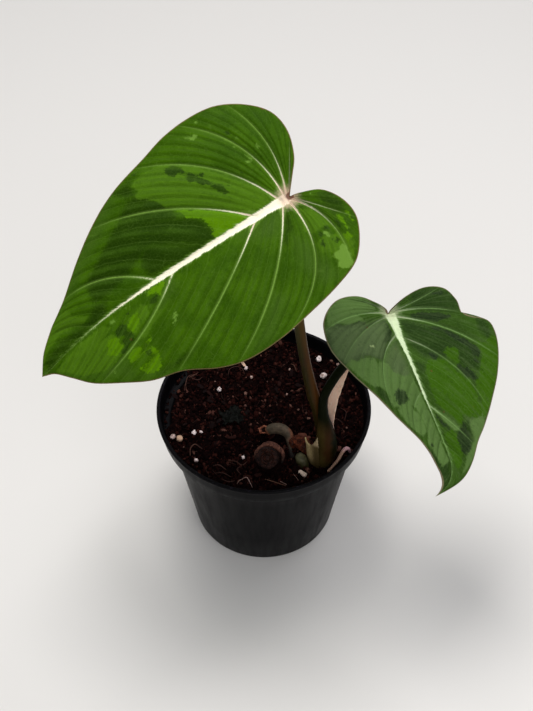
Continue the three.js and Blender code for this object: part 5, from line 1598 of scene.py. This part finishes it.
# Dark patches, greyed where painted sheen lies over them.
dull = coats(dark_green, (patch("Grey", 3, 1.4, 0.9), grey_green))
broken = ragged * 1.1 + (fine_flecks - 0.5) * 2.4
streaky = step(along_veins, 0.34, 0.66, -1, 1)
fine_vein = step(ridges.put("PINGPONG", 0.5), 0.05, 0.0, 0, 0.1)
net = cells(flat, 0.55, feature="DISTANCE_TO_EDGE")
young_vein = step(way / given["Vein Fade"], 1.0, 0.15)
by_vein = vein + ragged_fine * 0.6
halo = step(by_vein + step(way, 10, 1, 0, 1.6), -1.1, 0.1, 0, 0.42) * bold
vein_mask = step(by_vein, -0.2, 0.16, 0, 0.9) * bold
vein_cream = coats(vein_colour, (young_vein, cream), (step(way, 14, 3, 0, 0.6), blush))
spikes = (fine_flecks - 0.5) * 4.5
still_cream = step(flat.along("X") / given["Midrib Fade"], 1.2, 0.75)
rib_mask = step(midrib + spikes * 0.5, -0.1, 0.75) * step(still_cream, 0, 1, 0.75, 1)
from_stalk = add_node(variegation.group, "VectorMath", "Value", {0: flat}, operation="LENGTH")
green = coats(
    given["Green 1"],
    (step(clouds, 0.36, 0.64), given["Green 2"]),
    # Painted sheen in grey-green patches.
    (patch("Grey", 4, 1.4, 0.85), grey_green),
    (patch("Shade", 2, 1.4, 0.85), shade_green),
    (patch("Light", 0.7, 0.8, 0.92), light_green),
    (step(glowing, -1, 1, 0, 0.95), given["Bright Green"]),
    (step(given["Dark"] + broken, -0.5, 0.6, 0, 0.92), dull),
    # Painted sheen on the slope of each ridge that faces the light, and painted shade on the slope that faces
    # away.
    (step(toward_light, 0.1, 1.0, 0, 0.4) * swing, grey_green),
    (step(toward_light, 0.2, -1.0, 0, 0.34) * swing, shade_green),
    (step(streaky, 0.0, -1.0, 0, 0.11), dark_green),
    (step(streaky, 0.1, 1.0, 0, 0.1), light_green),
    (step(fine_flecks, 0.6, 0.75, 0, 0.22), light_green),
    (step(cell_tone, 0.88, 0.96, 0, 0.16), dark_green),
    (fine_vein, vein_colour),
    (patch("Pale", 0.5, 0.9, 0.8), given["Pale Green"]),
    (step(net, 0.05, 0.0, 0, 0.1), vein_colour),
    (halo, vein_colour),
    (vein_mask, vein_cream),
    (step(midrib + spikes, -0.9, 0.7, 0, 0.6), vein_colour),
    (rib_mask, coats(vein_colour, (still_cream, cream))),
    (step(from_stalk + ragged * 1.2, 7.5, 2, 0, 0.7), blush),
    (patch("Rust", 0.3, 0.1, 0.8), (104, 50, 34)),
    (step(given["Margin"] + ragged_fine * 0.3, 0.55, 0.2, 0, 0.7), given["Edge Colour"]),
)
beneath = coats(green, (0.72, given["Underside"]), (vein_mask, vein_colour))
pebbles = cells(flat, 1.7, feature="SMOOTH_F1")
variegation.give(
    Color=coats(green, (given["Under"], beneath)),
    Height=pebbles * -0.5 + fine_flecks + fine_vein * -1.2 + along_veins * 0.8,
    Wet=step(along_veins, 0.3, 0.7),
)


def leaf_finish(name, roughness=0.55, **own):
    """A leaf material: the variegation in this leaf's own colours, on a soft velvety skin."""
    finish = Finish(name, roughness, 0.03)
    marks = {mark: finish.mark(mark.lower()) for mark in BLADE_MARKS.split(", ")}
    marks |= {mark: finish.mark(mark.lower(), "Vector") for mark in ("Flat", "Grain")}
    own = {socket: paint(*value) if isinstance(value, tuple) else value for socket, value in own.items()}
    skin = variegation.use(**marks, **own)
    sheen = step(skin["Wet"], 0, 1, roughness - 0.07, roughness + 0.07)
    finish.coat(skin["Color"], skin["Height"], 0.4, 0.0005, Roughness=sheen)
    return finish


large_blade = leaf_finish(
    "large_blade", Green_1=(43, 75, 0), Green_2=(57, 93, 0), Bright_Green=(82, 126, 0),
    Light_Green=(70, 107, 12), Dark_Green=(28, 51, 4), Shade_Green=(26, 48, 0), Grey_Green=(58, 88, 20),
    Pale_Green=(100, 136, 50), Cream=(250, 244, 218), Blush=(216, 186, 164), Vein_Colour=(114, 149, 62),
    Edge_Colour=(132, 106, 76), Underside=(98, 126, 66), Ridging=1.05, Softness=0.5, Vein_Fade=32.0,
    Midrib_Fade=108.0,
)
finish_piece(large_leaf, large_blade, "leaf_large")
small_blade = leaf_finish(
    "small_blade", Green_1=(43, 69, 15), Green_2=(53, 83, 21), Bright_Green=(51, 87, 2),
    Light_Green=(84, 112, 56), Dark_Green=(28, 41, 21), Shade_Green=(30, 50, 14), Grey_Green=(82, 100, 62),
    Pale_Green=(158, 176, 120), Cream=(208, 224, 184), Blush=(186, 192, 156), Vein_Colour=(122, 156, 90),
    Edge_Colour=(134, 118, 96), Underside=(98, 122, 76), Ridging=0.45, Softness=0.6, Vein_Fade=22.0,
    Midrib_Fade=60.0,
)
finish_piece(small_leaf, small_blade, "leaf_small")


# ---------------------------------------------------------------------------------------------
# The studio: a plain pale floor under soft lights, seen from in front and above.
FLOOR_REACH = 6000
FLOOR_LEVEL = -0.4

corners = [(-1, -1), (1, -1), (1, 1), (-1, 1)]
corners = [(x * FLOOR_REACH, y * FLOOR_REACH, FLOOR_LEVEL) for x, y in corners]
floor = make_piece("floor", corners, [[0, 1, 2, 3]], turn=False)
floor_paint = Finish("floor_paint", 0.8, 0.5)
plug_in(floor_paint.shader, {"Base Color": paint(226, 224, 220)})
floor.data.materials.append(floor_paint.material)


def soft_light(name, place, aim, size, power, colour):
    """A large square light that looks at a point."""
    lamp = bpy.data.lights.new(name, "AREA")
    lamp.size = size
    lamp.energy = power
    lamp.color = colour
    light = stand(name, lamp)
    light.location = place
    light.rotation_euler = (Vector(aim) - Vector(place)).to_track_quat("-Z", "Y").to_euler()


soft_light("key_light", (-0.14, 0.14, 1.3), (0, 0, 0.12), 0.5, 10, (1, 0.98, 0.96))
soft_light("fill_light", (0.3, -0.9, 0.9), (0, 0, 0.15), 1.0, 4.5, (0.98, 0.97, 1))
soft_light("back_light", (0.55, 0.45, 1.1), (0, 0, 0.1), 0.6, 3, (0.97, 0.95, 1))
world = bpy.data.worlds.new("studio_air")
world.use_nodes = True
plug_in(world.node_tree.nodes["Background"], {"Color": (0.9, 0.92, 0.95, 1), "Strength": 0.36})
bpy.context.scene.world = world

lens = bpy.data.cameras.new("camera")
lens.sensor_width = 36
lens.lens = 70.89
lens.clip_end = 20
camera = stand("camera", lens)
camera.location = (0.00153, -0.49495, 0.71797)
camera.rotation_euler = (math.radians(40.483), 0, 0)
bpy.context.scene.camera = camera
bpy.context.scene.view_settings.view_transform = "Standard"
